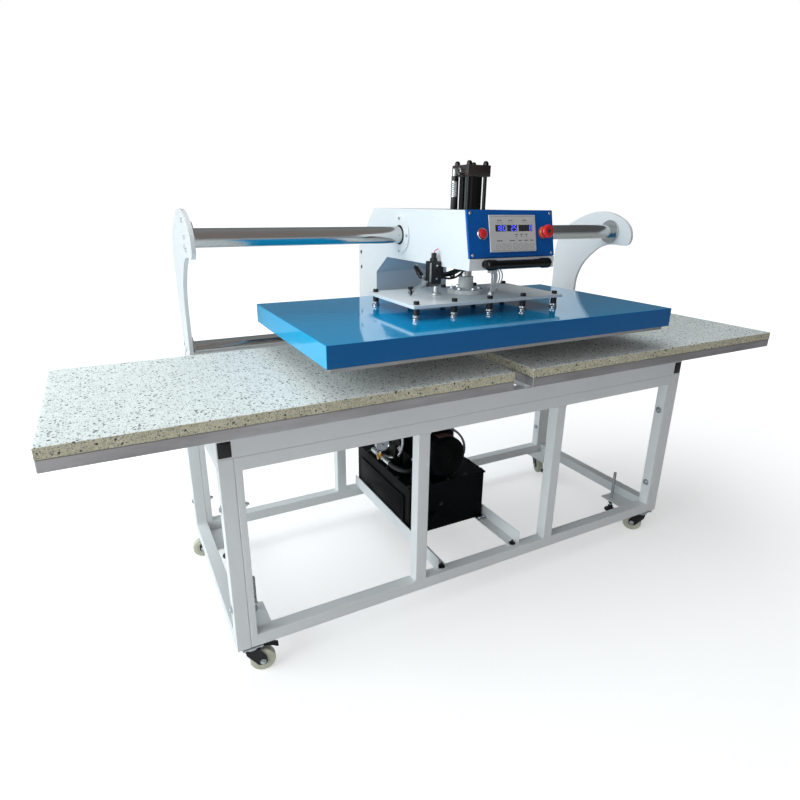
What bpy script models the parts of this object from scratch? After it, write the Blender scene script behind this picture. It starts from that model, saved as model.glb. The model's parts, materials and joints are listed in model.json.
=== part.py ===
"""Double-station shuttle heat press with a hydraulic cylinder.

A square-tube stand on casters carries two pressing beds side by side. The head slides left and right on
two round guide tubes held by shaped end brackets, and its cylinder pushes the heated platen down on
either bed. Units are metres, +Z is up, X runs along the beds and +Y points to the back. Y is measured
from the front edge of the beds; the last lines bring the origin to the middle of the footprint.
"""

import math

import bmesh
import bpy
from mathutils import Matrix, Vector

# ---------------------------------------------------------------- driving dimensions
GAP = 0.0003  # clearance between pieces that touch
DEPTH = 0.847  # front of the beds to the back of the head

STAND_X = 0.876  # outer face of the legs
STAND_Y = (0.106, 0.826)  # front and back of the stand
TUBE = 0.040  # square tube of the stand
STAND_Z = (0.105, 0.709)  # bottom and top of the stand frames
TOP_FRAME_Z = 0.759  # top of the bed frame's tubes
MID_POST_X = 0.2735  # middle posts of the long frames

BED_X = (0.036, 1.236)
BED_Y = (0.0, 0.606)
BED_Z = (0.803, 0.832, 0.859)  # underside, plate top, pad top

UPPER_TUBE = (0.500, 1.222)  # axis of the upper guide tube, Y and Z
UPPER_R = 0.027
LOWER_TUBE = (0.745, 0.846)
LOWER_R = 0.025
BRACKET_X = (0.830, 0.842)

HEAD_X = 0.154  # outer faces of the head's side plates
PLATE_T = 0.008
HEAD_Z = (1.144, 1.306)
RAM_Y = 0.3275  # cylinder, ram and platen centre line
PANEL = ((0.0915, 1.1785), (0.1190, 1.3070))  # lower and upper front edge of the control panel

PLATEN_X = 0.617
PLATEN_Y = (0.002, 0.653)
PLATEN_Z = (0.9255, 0.939, 0.999)  # heating face, cover bottom, cover top
CARRIER_Z = (1.0335, 1.0435)
STUD_X = (-0.264, -0.132, 0.0, 0.132, 0.264)
STUD_Y = (0.191, 0.464)
ROD_X = 0.115

WHEEL_R = 0.0375
CASTER = (0.832, 0.135)  # swivel axis, X and Y, of the front casters
CASTER_TRAIL = 0.030
FOOT = (0.786, 0.258)  # levelling foot, X and Y, at the front

for leftover in list(bpy.data.objects):
    bpy.data.objects.remove(leftover, do_unlink=True)


# ---------------------------------------------------------------- modelling helpers
def material(name, colour, metallic, roughness):
    mat = bpy.data.materials.new(name)
    mat.use_nodes = True
    shader = mat.node_tree.nodes["Principled BSDF"]
    shader.inputs["Base Color"].default_value = (*colour, 1.0)
    shader.inputs["Metallic"].default_value = metallic
    shader.inputs["Roughness"].default_value = roughness
    mat.diffuse_color = (*colour, 1.0)
    return mat


def make(name, bm, mat, origin=(0, 0, 0), smooth=None):
    """Turns a bmesh into a named object whose origin is at the given point."""
    bmesh.ops.remove_doubles(bm, verts=bm.verts, dist=1e-6)
    bmesh.ops.recalc_face_normals(bm, faces=bm.faces)
    bmesh.ops.translate(bm, verts=bm.verts, vec=-Vector(origin))
    mesh = bpy.data.meshes.new(name)
    bm.to_mesh(mesh)
    bm.free()
    mesh.materials.append(mat)
    if smooth is not None:
        mesh.shade_smooth()
        mesh.set_sharp_from_angle(angle=math.radians(smooth))
    obj = bpy.data.objects.new(name, mesh)
    obj.location = origin
    bpy.context.collection.objects.link(obj)
    return obj


def weldment(name, boxes, mat, voids=(), origin=(0, 0, 0)):
    """One closed body that is the union of axis-aligned boxes, less any voids."""

    def inside(point, box):
        return all(box[2 * k] < point[k] < box[2 * k + 1] for k in range(3))

    every = list(boxes) + list(voids)
    cuts = [sorted({round(v, 6) for b in every for v in b[2 * k : 2 * k + 2]}) for k in range(3)]
    size = [len(c) - 1 for c in cuts]

    def solid(i, j, k):
        if not (0 <= i < size[0] and 0 <= j < size[1] and 0 <= k < size[2]):
            return False
        mid = [(cuts[a][n] + cuts[a][n + 1]) / 2 for a, n in enumerate((i, j, k))]
        return any(inside(mid, b) for b in boxes) and not any(inside(mid, b) for b in voids)

    bm = bmesh.new()
    corners = {}

    def corner(i, j, k):
        if (i, j, k) not in corners:
            corners[i, j, k] = bm.verts.new((cuts[0][i], cuts[1][j], cuts[2][k]))
        return corners[i, j, k]

    quads = {
        (-1, 0, 0): ((0, 0, 0), (0, 0, 1), (0, 1, 1), (0, 1, 0)),
        (1, 0, 0): ((1, 0, 0), (1, 1, 0), (1, 1, 1), (1, 0, 1)),
        (0, -1, 0): ((0, 0, 0), (1, 0, 0), (1, 0, 1), (0, 0, 1)),
        (0, 1, 0): ((0, 1, 0), (0, 1, 1), (1, 1, 1), (1, 1, 0)),
        (0, 0, -1): ((0, 0, 0), (0, 1, 0), (1, 1, 0), (1, 0, 0)),
        (0, 0, 1): ((0, 0, 1), (1, 0, 1), (1, 1, 1), (0, 1, 1)),
    }
    for i in range(size[0]):
        for j in range(size[1]):
            for k in range(size[2]):
                if not solid(i, j, k):
                    continue
                for (di, dj, dk), quad in quads.items():
                    if not solid(i + di, j + dj, k + dk):
                        bm.faces.new([corner(i + a, j + b, k + c) for a, b, c in quad])
    bmesh.ops.dissolve_limit(bm, angle_limit=0.01, verts=bm.verts, edges=bm.edges)
    return make(name, bm, mat, origin)


def box(x0, x1, y0, y1, z0, z1):
    return (min(x0, x1), max(x0, x1), min(y0, y1), max(y0, y1), min(z0, z1), max(z0, z1))


AXES = {
    "X": lambda r, a, h: (h, r * math.cos(a), r * math.sin(a)),
    "Y": lambda r, a, h: (r * math.sin(a), h, r * math.cos(a)),
    "Z": lambda r, a, h: (r * math.cos(a), r * math.sin(a), h),
}


def lathe(name, profile, axis, centre, mat, segments=32, closed=False, origin=None, smooth=35):
    """Turned piece: profile is (radius, height) pairs along the axis, closed for a piece with a bore."""
    bm = bmesh.new()
    rings = []
    for radius, height in profile:
        count = 1 if radius == 0 else segments
        ring = [AXES[axis](radius, math.tau * n / segments, height) for n in range(count)]
        rings.append([bm.verts.new(Vector(p) + Vector(centre)) for p in ring])
    pairs = list(zip(rings, rings[1:])) + ([(rings[-1], rings[0])] if closed else [])
    for low, high in pairs:
        for n in range(segments):
            m = (n + 1) % segments
            face = [low[n % len(low)], low[m % len(low)], high[m % len(high)], high[n % len(high)]]
            face = list(dict.fromkeys(face))
            if len(face) > 2:
                bm.faces.new(face)
    return make(name, bm, mat, centre if origin is None else origin, smooth)


def prism(name, outline, axis, low, high, mat, origin=(0, 0, 0), smooth=None):
    """Flat outline extruded along an axis; the outline lists the other two coordinates in order."""
    place = {
        "X": lambda p, h: (h, p[0], p[1]),
        "Y": lambda p, h: (p[0], h, p[1]),
        "Z": lambda p, h: (p[0], p[1], h),
    }[axis]
    bm = bmesh.new()
    face = bm.faces.new([bm.verts.new(place(p, low)) for p in outline])
    grown = bmesh.ops.extrude_face_region(bm, geom=[face])
    moved = [v for v in grown["geom"] if isinstance(v, bmesh.types.BMVert)]
    bmesh.ops.translate(bm, verts=moved, vec=Vector(place((0, 0), high - low)))
    return make(name, bm, mat, origin, smooth)


def rounded(corners, steps=5):
    """Polygon whose corners, given as (a, b, radius), are replaced by arcs."""
    out = []
    count = len(corners)
    for n, (a, b, radius) in enumerate(corners):
        here = Vector((a, b))
        if radius == 0:
            out.append((a, b))
            continue
        before = Vector(corners[n - 1][:2]) - here
        after = Vector(corners[(n + 1) % count][:2]) - here
        half = before.angle(after) / 2
        reach = radius / math.tan(half)
        centre = here + (before.normalized() + after.normalized()).normalized() * radius / math.sin(half)
        start = here + before.normalized() * reach - centre
        end = here + after.normalized() * reach - centre
        sweep = start.angle_signed(end)
        for k in range(steps + 1):
            turn = Matrix.Rotation(-sweep * k / steps, 2)
            out.append(tuple(centre + turn @ start))
    return out


def flowing(points, steps=3):
    """Closed curve through the points (Catmull-Rom)."""
    out = []
    count = len(points)
    for n in range(count):
        p0, p1, p2, p3 = (Vector(points[(n + k) % count]) for k in (-1, 0, 1, 2))
        for k in range(steps):
            t = k / steps
            curve = 2 * p1 + (p2 - p0) * t + (2 * p0 - 5 * p1 + 4 * p2 - p3) * t * t
            out.append(tuple((curve + (3 * p1 - p0 - 3 * p2 + p3) * t**3) / 2))
    return out


def combine(obj, tools, operation):
    """Boolean of an object with throw-away tools, kept as plain mesh."""
    for tool in tools:
        step = obj.modifiers.new("step", "BOOLEAN")
        step.operation = operation
        step.object = tool
        bpy.context.view_layer.update()
        graph = bpy.context.evaluated_depsgraph_get()
        mesh = bpy.data.meshes.new_from_object(obj.evaluated_get(graph))
        obj.modifiers.clear()
        mesh.materials.clear()
        mesh.materials.append(obj.data.materials[0])
        obj.data = mesh
        mesh.name = obj.name
        bpy.data.objects.remove(tool, do_unlink=True)
    return obj


def join(obj, *tools):
    return combine(obj, tools, "UNION")


def cut(obj, *tools):
    return combine(obj, tools, "DIFFERENCE")


def drill(obj, axis, centre, radius, low, high, segments=20):
    """Round through hole along an axis between two heights."""
    profile = [(0, low), (radius, low), (radius, high), (0, high)]
    tool = lathe("drill", profile, axis, centre, obj.data.materials[0], segments, smooth=None)
    return cut(obj, tool)


def soften(obj, width, segments=1, angle=35):
    bevel = obj.modifiers.new("Edge", "BEVEL")
    bevel.width = width
    bevel.segments = segments
    bevel.limit_method = "ANGLE"
    bevel.angle_limit = math.radians(angle)
    return obj


WHITE = material("powder_white", (0.78, 0.82, 0.83), 0.0, 0.38)
BLUE = material("panel_blue", (0.02, 0.10, 0.33), 0.0, 0.25)
PLATEN_BLUE = material("platen_blue", (0.0, 0.22, 0.50), 0.0, 0.12)
ALU = material("aluminium", (0.50, 0.48, 0.49), 1.0, 0.45)
CHROME = material("chrome", (0.80, 0.81, 0.82), 1.0, 0.12)
ZINC = material("zinc_steel", (0.50, 0.56, 0.60), 1.0, 0.32)
CAST = material("machined_steel", (0.62, 0.65, 0.66), 1.0, 0.35)
PAD = material("speckled_pad", (0.74, 0.74, 0.66), 0.0, 0.85)
BLACK = material("black_enamel", (0.012, 0.012, 0.013), 0.0, 0.35)
PLASTIC = material("black_plastic", (0.02, 0.02, 0.02), 0.0, 0.45)
RUBBER = material("black_rubber", (0.015, 0.016, 0.017), 0.0, 0.6)
CREAM = material("cream_nylon", (0.62, 0.64, 0.48), 0.0, 0.42)
RED = material("signal_red", (0.65, 0.02, 0.03), 0.0, 0.3)
SILVER = material("silver_fascia", (0.60, 0.60, 0.58), 0.3, 0.42)
BRASS = material("brass", (0.62, 0.42, 0.16), 1.0, 0.35)

# ---------------------------------------------------------------- stand: two end frames
FRONT, REAR = STAND_Y
LOW, TOP = STAND_Z
INNER_X = STAND_X - TUBE
RAIL = (TOP - TUBE, TOP - GAP)
MIDDLE_Y = (FRONT + REAR) / 2
GUSSET = (0.756, 0.290, 0.004)  # inner edge in X, rear edge in Y, thickness


def flip_y(y):
    """The same distance from the stand's middle, on the other side."""
    return 2 * MIDDLE_Y - y


for side, label in ((-1, "left"), (1, "right")):
    x0, x1 = side * INNER_X, side * STAND_X
    frame = weldment(
        f"end_frame_{label}",
        [
            box(x0, x1, FRONT, FRONT + TUBE, LOW, TOP - GAP),
            box(x0, x1, REAR - TUBE, REAR, LOW, TOP - GAP),
            box(x0, x1, FRONT + TUBE - 0.001, REAR - TUBE + 0.001, LOW, LOW + TUBE),
            box(x0, x1, FRONT + TUBE - 0.001, REAR - TUBE + 0.001, *RAIL),
            box(side * GUSSET[0], x0, FRONT + TUBE + GAP, GUSSET[1], LOW, LOW + GUSSET[2]),
            box(side * GUSSET[0], x0, flip_y(GUSSET[1]), REAR - TUBE - GAP, LOW, LOW + GUSSET[2]),
        ],
        WHITE,
    )
    for y in (FOOT[1], flip_y(FOOT[1])):
        drill(frame, "Z", (side * FOOT[0], y, LOW), 0.0072, -0.01, 0.02)

# front and rear long frames, bolted between the end frames
for label, y0 in (("front", FRONT), ("rear", REAR - TUBE)):
    end = INNER_X - GAP
    posts = [box(s * (end - 0.020), s * end, y0, y0 + TUBE, LOW, TOP - GAP) for s in (-1, 1)]
    half = TUBE / 2
    for s in (-1, 1):
        x = s * MID_POST_X
        posts.append(box(x - half, x + half, y0, y0 + TUBE, LOW, TOP - GAP))
    rails = [box(-end, end, y0, y0 + TUBE, *z) for z in ((LOW, LOW + TUBE), RAIL)]
    weldment(f"long_frame_{label}", rails + posts, WHITE)

# ---------------------------------------------------------------- bed frame with its bearers
PLUG_D, WALL = 0.012, 0.003
BEARER_Y = (0.110, 0.620)
tubes = [box(-INNER_X, INNER_X, y, y + TUBE, TOP, TOP_FRAME_Z) for y in (FRONT, 0.600, REAR - TUBE)]
mouths = []
for side in (-1, 1):
    tubes.append(box(side * INNER_X, side * STAND_X, FRONT, REAR, TOP, TOP_FRAME_Z))
    for x in (0.100, INNER_X):
        tubes.append(box(side * x, side * (x + TUBE), *BEARER_Y, TOP_FRAME_Z - 0.001, BED_Z[0] - GAP))
    for y0, y1 in ((FRONT - 0.01, FRONT + PLUG_D), (REAR - PLUG_D, REAR + 0.01)):
        mouth = (side * (INNER_X + WALL), side * (STAND_X - WALL), y0, y1, TOP + WALL, TOP_FRAME_Z - WALL)
        mouths.append(box(*mouth))
weldment("bed_frame", tubes, WHITE, mouths)

for side, label in ((-1, "left"), (1, "right")):
    x0, x1 = side * (INNER_X + WALL + GAP), side * (STAND_X - WALL - GAP)
    z0, z1 = TOP + WALL + GAP, TOP_FRAME_Z - WALL - GAP
    plug = weldment(f"tube_plug_{label}", [box(x0, x1, FRONT - 0.0008, FRONT + PLUG_D - GAP, z0, z1)], PLASTIC)
    soften(plug, 0.0012)

# ---------------------------------------------------------------- the two pressing beds
for side, label in ((-1, "left"), (1, "right")):
    x0, x1 = (side * x for x in BED_X)
    plate = weldment(f"bed_plate_{label}", [box(x0, x1, *BED_Y, BED_Z[0], BED_Z[1])], ALU)
    soften(plate, 0.0015)
    pad = weldment(f"bed_pad_{label}", [box(x0, x1, *BED_Y, BED_Z[1] + GAP, BED_Z[2])], PAD)
    soften(pad, 0.003, 2)

# ---------------------------------------------------------------- end brackets and guide tubes
BRACKET = [
    (0.806, TOP_FRAME_Z + 0.002), (0.814, 0.800), (0.816, 0.850), (0.815, 0.905), (0.812, 0.965),
    (0.811, 1.022), (0.813, 1.076), (0.813, 1.122), (0.802, 1.168), (0.776, 1.212), (0.727, 1.249),
    (0.652, 1.281), (0.600, 1.295), (0.552, 1.300), (0.505, 1.295), (0.461, 1.281), (0.424, 1.261),
    (0.400, 1.236), (0.391, 1.208), (0.394, 1.186), (0.407, 1.173), (0.432, 1.169), (0.474, 1.171),
    (0.515, 1.167), (0.553, 1.153), (0.592, 1.125), (0.628, 1.090), (0.652, 1.052), (0.666, 1.010),
    (0.669, 0.970), (0.668, 0.925), (0.670, 0.885), (0.674, 0.845), (0.679, 0.805), (0.682, TOP_FRAME_Z + 0.002),
]
for side, label in ((-1, "left"), (1, "right")):
    x0, x1 = (side * x for x in BRACKET_X)
    outline = [(y, max(z, TOP_FRAME_Z + 0.002)) for y, z in flowing(BRACKET, 2)]
    bracket = prism(f"end_bracket_{label}", outline, "X", min(x0, x1), max(x0, x1), WHITE, smooth=30)
    z0 = TOP_FRAME_Z + GAP
    foot = [box(side * 0.8305, side * STAND_X, 0.690, 0.800, z0, z0 + 0.010)]
    join(bracket, weldment("foot", foot, WHITE))

for name, (y, z), r, flange in (
    ("upper_guide_tube", UPPER_TUBE, UPPER_R, 0.045),
    ("lower_guide_tube", LOWER_TUBE, LOWER_R, 0.042),
):
    end = BRACKET_X[0] - GAP
    profile = [(0, -end), (flange, -end), (flange, -end + 0.010), (r, -end + 0.010)]
    profile += [(radius, -height) for radius, height in reversed(profile)]
    lathe(name, profile, "X", (0, y, z), CHROME, 28)

# ---------------------------------------------------------------- hydraulic unit inside the stand
RAIL_Z = LOW + TUBE + GAP
for label, upright, shelf in (("left", -0.200, -0.158), ("right", 0.151, 0.109)):
    sheet = 0.004 if shelf > upright else -0.004
    weldment(
        f"pump_rail_{label}",
        [
            box(upright, shelf, 0.122, 0.812, RAIL_Z, RAIL_Z + 0.004),
            box(upright, upright + sheet, 0.122, 0.812, RAIL_Z, RAIL_Z + 0.048),
        ],
        WHITE,
    )

TANK_Z = (RAIL_Z + 0.004 + GAP, 0.343, 0.350)
tank = weldment(
    "oil_tank",
    [
        box(-0.190, 0.138, 0.340, 0.800, TANK_Z[0], TANK_Z[1] + 0.001),
        box(-0.194, 0.142, 0.335, 0.805, TANK_Z[1], TANK_Z[2]),
    ],
    BLACK,
)
soften(tank, 0.0015)

MOTOR = (-0.024, 0.4310)  # motor axis, X and Z
MOTOR_R = 0.080
profile = [(0, 0.350), (0.060, 0.350), (0.074, 0.354), (MOTOR_R, 0.363), (MOTOR_R, 0.417), (0.074, 0.421)]
profile += [(0.074, 0.559), (MOTOR_R, 0.563), (MOTOR_R, 0.587), (0.066, 0.593), (0.040, 0.613), (0, 0.613)]
motor = lathe("pump_motor", profile, "Y", (MOTOR[0], 0, MOTOR[1]), BLACK, 24, origin=(0, 0, 0))
lid = TANK_Z[2] + GAP
join(
    motor,
    weldment("feet", [box(-0.080, 0.032, 0.437, 0.537, lid, 0.380)], BLACK),
    weldment("terminals", [box(-0.082, 0.038, 0.407, 0.527, 0.478, 0.564)], BLACK),
)
block = weldment("valve_block", [box(-0.146, -0.108, 0.545, 0.640, lid, 0.432)], BLACK)
soften(block, 0.002)

# high-pressure line along the tank's left edge: crimped ferrule, tee, crimped ferrule
LINE = [(0, 0.515), (0.007, 0.515), (0.007, 0.555), (0.009, 0.557), (0.009, 0.583), (0.012, 0.585)]
LINE += [(0.012, 0.617), (0.009, 0.619), (0.009, 0.645), (0.0075, 0.647), (0.0075, 0.690), (0, 0.690)]
lathe("pressure_line", LINE, "Y", (-0.178, 0, 0.367), BRASS, 12, origin=(0, 0, 0))
GAUGE = [(0, 0.585), (0.026, 0.585), (0.029, 0.588), (0.029, 0.607), (0.024, 0.610), (0, 0.610)]
gauge = lathe("pressure_gauge", GAUGE, "Y", (-0.178, 0, 0.424), CHROME, 20, origin=(0, 0, 0))
STEM = [(0, 0.3795), (0.006, 0.3795), (0.006, 0.403), (0, 0.403)]
join(gauge, lathe("stem", STEM, "Z", (-0.178, 0.598, 0), CHROME, 10))


def hose(name, points, radius, mat, resolution=2):
    """Round hose along a poly line, with flat closed ends."""
    curve = bpy.data.curves.new(name, "CURVE")
    curve.dimensions = "3D"
    curve.bevel_depth = radius
    curve.bevel_resolution = resolution
    curve.use_fill_caps = True
    curve.render_resolution_u = 0
    spline = curve.splines.new("POLY")
    spline.points.add(len(points) - 1)
    for point, place in zip(spline.points, points):
        point.co = (*place, 1.0)
    curve.materials.append(mat)
    obj = bpy.data.objects.new(name, curve)
    bpy.context.collection.objects.link(obj)
    return obj


def bezier(a, b, c, d, count=12):
    """Points along a cubic curve from a to d."""
    out = []
    for n in range(count + 1):
        t = n / count
        weights = ((1 - t) ** 3, 3 * t * (1 - t) ** 2, 3 * t * t * (1 - t), t**3)
        out.append(tuple(sum(w * p[k] for w, p in zip(weights, (a, b, c, d))) for k in range(3)))
    return out


start = (-0.178, 0.5147, 0.367)
hose("pump_hose", bezier(start, (-0.178, 0.430, 0.366), (-0.140, 0.430, 0.3635), (-0.0865, 0.447, 0.3635)), 0.009, RUBBER)

# ---------------------------------------------------------------- casters
SWIVEL_TOP = LOW - GAP
LEG = [(-0.016, 0.084, 0), (-0.016, 0.070, 0.004), (0.018, 0.0265, 0.009)]
LEG += [(0.044, 0.0265, 0.009), (0.042, 0.052, 0.006), (0.021, 0.084, 0)]


def caster_fork():
    """Swivelling fork with its axle; the wheel trails towards local +X."""
    fork = lathe("fork", [(0, 0.080), (0.0185, 0.080), (0.0185, SWIVEL_TOP), (0, SWIVEL_TOP)], "Z", (0, 0, 0), BLACK, 16)
    crown = weldment("crown", [box(-0.018, 0.023, -0.0195, 0.0195, 0.0790, 0.0850)], BLACK)
    legs = [prism("leg", rounded(LEG, 2), "Y", y, y + 0.003, BLACK) for y in (-0.0190, 0.0160)]
    pin = [(0, -0.0230), (0.0048, -0.0230), (0.0048, 0.0230), (0, 0.0230)]
    axle = lathe("axle", pin, "Y", (CASTER_TRAIL, 0, WHEEL_R), BLACK, 12)
    return join(fork, crown, *legs, axle)


def caster_wheel():
    """Wheel about local Y, with a bore for the axle."""
    rim = WHEEL_R
    profile = [(0.0055, -0.0145), (0.013, -0.0145), (rim - 0.004, -0.0130), (rim, -0.0100)]
    profile += [(r, -h) for r, h in reversed(profile)]
    return lathe("wheel", profile, "Y", (0, 0, 0), CREAM, 24, closed=True)


master_fork, master_wheel = caster_fork(), caster_wheel()
CASTERS = {  # label: side, front or rear, heading of the trailing wheel in degrees
    "front_left": (-1, CASTER[1], 350.0),
    "front_right": (1, CASTER[1], 126.0),
    "rear_left": (-1, flip_y(CASTER[1]), 174.0),
    "rear_right": (1, flip_y(CASTER[1]), 250.0),
}
for label, (side, y, heading) in CASTERS.items():
    turn = math.radians(heading)
    fork = bpy.data.objects.new(f"caster_fork_{label}", master_fork.data)
    fork.location = (side * CASTER[0], y, 0)
    fork.rotation_euler.z = turn
    wheel = bpy.data.objects.new(f"caster_wheel_{label}", master_wheel.data)
    trail = Vector((math.cos(turn), math.sin(turn), 0)) * CASTER_TRAIL
    wheel.location = Vector((side * CASTER[0], y, WHEEL_R)) + trail
    wheel.rotation_euler.z = turn
    for obj in (fork, wheel):
        bpy.context.collection.objects.link(obj)
for master in (master_fork, master_wheel):
    bpy.data.objects.remove(master, do_unlink=True)

# levelling feet: threaded stud with a swivel disc, screwed through the corner plates
FOOT_PROFILE = [(0, 0.048), (0.024, 0.048), (0.024, 0.052), (0.011, 0.058), (0.006, 0.074)]
FOOT_PROFILE += [(0.006, 0.084), (0.0105, 0.084), (0.0105, 0.094), (0.006, 0.094), (0.006, 0.232), (0, 0.232)]
for fb, y in (("front", FOOT[1]), ("rear", flip_y(FOOT[1]))):
    for side, label in ((-1, "left"), (1, "right")):
        lathe(f"levelling_foot_{fb}_{label}", FOOT_PROFILE, "Z", (side * FOOT[0], y, 0), ZINC, 12)

# ---------------------------------------------------------------- head: side plates
tangent = (Vector(PANEL[1]) - Vector(PANEL[0])).normalized()
inward = Vector((tangent.y, -tangent.x))
PANEL_T = 0.008
lower, upper = Vector(PANEL[0]), Vector(PANEL[1])


def behind(point, distance):
    return tuple(point + inward * distance)


SIDE = [
    (0.0915, HEAD_Z[0], 0), (0.688, 0.790, 0.020), (0.847, 0.790, 0.030), (0.847, 1.166, 0.012),
    (0.706, 1.305, 0.012), (*behind(upper, PANEL_T + GAP), 0), (*behind(lower, PANEL_T + GAP), 0),
    (0.0915, 1.1765, 0),
]
SIDE[1:1] = [(0.600, HEAD_Z[0] - 0.002, 0.004), (0.688, 1.081, 0.006)]
for side, label in ((-1, "left"), (1, "right")):
    x0, x1 = sorted((side * HEAD_X, side * (HEAD_X - PLATE_T)))
    plate = prism(f"head_side_plate_{label}", rounded(SIDE, 4), "X", x0, x1, WHITE)
    drill(plate, "X", (0, *UPPER_TUBE), 0.0366, x0 - 0.01, x1 + 0.01, 28)
    drill(plate, "X", (0, *LOWER_TUBE), 0.0336, x0 - 0.01, x1 + 0.01, 28)

INNER_HEAD = HEAD_X - PLATE_T - GAP
base = weldment("head_base", [box(-INNER_HEAD, INNER_HEAD, 0.0915, 0.590, HEAD_Z[0] + GAP, 1.1763)], WHITE)
drill(base, "Z", (0, RAM_Y, 0), 0.030, 1.10, 1.20, 32)
for side in (-1, 1):
    drill(base, "Z", (side * ROD_X, RAM_Y, 0), 0.0105, 1.10, 1.20, 20)


def strip(points, thickness):
    """Outline of a folded sheet: the points and the same line moved sideways by the thickness."""
    line = [Vector(p) for p in points]
    moved = []
    for n, here in enumerate(line):
        before = (here - line[n - 1]).normalized() if n else None
        after = (line[n + 1] - here).normalized() if n + 1 < len(line) else None
        first, last = before or after, after or before
        normal = (Vector((-first.y, first.x)) + Vector((-last.y, last.x))).normalized()
        moved.append(here + normal * thickness / normal.dot(Vector((-last.y, last.x))))
    return [tuple(p) for p in line + moved[::-1]]


COVER = [behind(upper, PANEL_T + 0.001), (0.706, 1.305), (0.847, 1.166), (0.847, 0.800)]
cover = prism("head_cover", strip(COVER, -0.0025), "X", -INNER_HEAD, INNER_HEAD, WHITE)
opening = [box(-0.078, 0.046, 0.268, 0.372, 1.25, 1.35)]
cut(cover, weldment("opening", opening, WHITE))
THROAT = [(0.6015, 1.1405), (0.688, 1.0815), (0.688, 0.800)]
prism("throat_cover", strip(THROAT, 0.0025), "X", -INNER_HEAD, INNER_HEAD, WHITE)

for name, (y, z), bore, sleeve, flange in (
    ("upper_bearing", UPPER_TUBE, UPPER_R + 0.0012, 0.036, 0.061),
    ("lower_bearing", LOWER_TUBE, LOWER_R + 0.0012, 0.033, 0.045),
):
    face = HEAD_X + GAP
    half = [(bore, face + 0.005), (flange, face + 0.005), (flange, face), (sleeve, face)]
    profile = [(r, -h) for r, h in half] + half[::-1]
    lathe(name, profile, "X", (0, y, z), CAST, 28, closed=True)

# ---------------------------------------------------------------- head: panel, controller and controls
TILT = math.atan2(-inward.y, inward.x)  # panel normal below the horizontal, pointing into the head


def on_panel(x, height, out=0.0):
    """Point on the panel: across, up the slope, and out of the face."""
    y, z = lower + tangent * height - inward * out
    return Vector((x, y, z))


panel_outline = [tuple(lower), tuple(upper), behind(upper, PANEL_T), behind(lower, PANEL_T)]
panel = prism("control_panel", panel_outline, "X", -HEAD_X, HEAD_X, BLUE)
soften(panel, 0.0012)

screen = [on_panel(0, h, o)[1:] for h, o in ((0.014, GAP), (0.117, GAP), (0.117, 0.004), (0.014, 0.004))]
controller = prism("controller", screen, "X", -0.0835, 0.0835, SILVER)
soften(controller, 0.001)


def panel_turned(name, profile, spot, mat, segments=20, closed=False):
    """Turned piece on the panel; profile heights run inwards, so what stands out of the face is negative."""
    obj = lathe(name, profile, "Y", (0, 0, 0), mat, segments, closed)
    obj.location = on_panel(*spot)
    obj.rotation_euler.x = -TILT
    return obj


# each push button rides in a collar fixed to the panel, with room underneath for its stroke
START_AT, STOP_AT = (-0.107, 0.066), (0.114, 0.067)
BEZEL = [(0.0132, 0.001), (0.0165, 0.001), (0.0165, -0.0035), (0.0132, -0.0035)]
COLLAR = [(0.0090, 0.001), (0.0160, 0.001), (0.0160, -0.009), (0.0140, -0.0105), (0.0090, -0.0105)]
join(
    panel,
    panel_turned("bezel", BEZEL, START_AT, BLUE, closed=True),
    panel_turned("collar", COLLAR, STOP_AT, BLUE, closed=True),
)
BUTTON = [(0, -0.0030), (0.0128, -0.0030), (0.0128, -0.0060), (0.0105, -0.0085), (0, -0.0085)]
panel_turned("start_button", BUTTON, START_AT, RED)
STOP = [(0, -0.0050), (0.0085, -0.0050), (0.0085, -0.0150), (0.0142, -0.0150), (0.0190, -0.0172)]
STOP += [(0.0195, -0.0220), (0.0160, -0.0268), (0, -0.0287)]
panel_turned("emergency_stop", STOP, STOP_AT, RED)

# handle bar under the panel
GRIP = (0.066, 1.1610)
bar = [(0, -0.120), (0.012, -0.120), (0.0165, -0.115), (0.0165, -0.086), (0.0130, -0.080)]
bar += [(r, -h) for r, h in reversed(bar)]
handle = lathe("handle", bar, "X", (0, *GRIP), BLACK, 16, origin=(0, 0, 0))
for side in (-1, 1):
    leg = [(0, GRIP[0]), (0.010, GRIP[0]), (0.010, 0.0912), (0, 0.0912)]
    join(handle, lathe("leg", leg, "Y", (side * 0.100, 0, GRIP[1]), BLACK, 12))

# ---------------------------------------------------------------- hydraulic cylinder on the head
CYL_Y = 0.3275
CYL_X = 0.042
CAP = (1.401, 1.434)
seat = 1.1763 + GAP
barrel_top = CAP[0] - GAP
barrel = lathe("cylinder_barrel", [(0, seat + 0.005), (0.035, seat + 0.005), (0.035, barrel_top), (0, barrel_top)], "Z", (0, CYL_Y, 0), BLACK, 28)
bottom_cap = weldment("cap", [box(-CYL_X, CYL_X, CYL_Y - 0.044, CYL_Y + 0.044, seat, seat + 0.032)], BLACK)
join(barrel, bottom_cap)
drill(barrel, "Z", (0, CYL_Y, 0), 0.0185, seat - 0.01, 1.392, 28)

head_block = weldment("cylinder_head", [box(-CYL_X, CYL_X, CYL_Y - 0.0445, CYL_Y + 0.0445, *CAP)], BLACK)
for sx in (-1, 1):
    for sy in (-1, 1):
        tie = [(0, seat + 0.032 + GAP), (0.006, seat + 0.032 + GAP), (0.006, CAP[1] - 0.004)]
        tie += [(0.0095, CAP[1] - 0.004), (0.0095, CAP[1] + 0.006), (0.007, CAP[1] + 0.0105), (0, CAP[1] + 0.0125)]
        rod = lathe("tie", tie, "Z", (sx * 0.0305, CYL_Y + sy * 0.0325, 0), BLACK, 12)
        join(head_block, rod)

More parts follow.
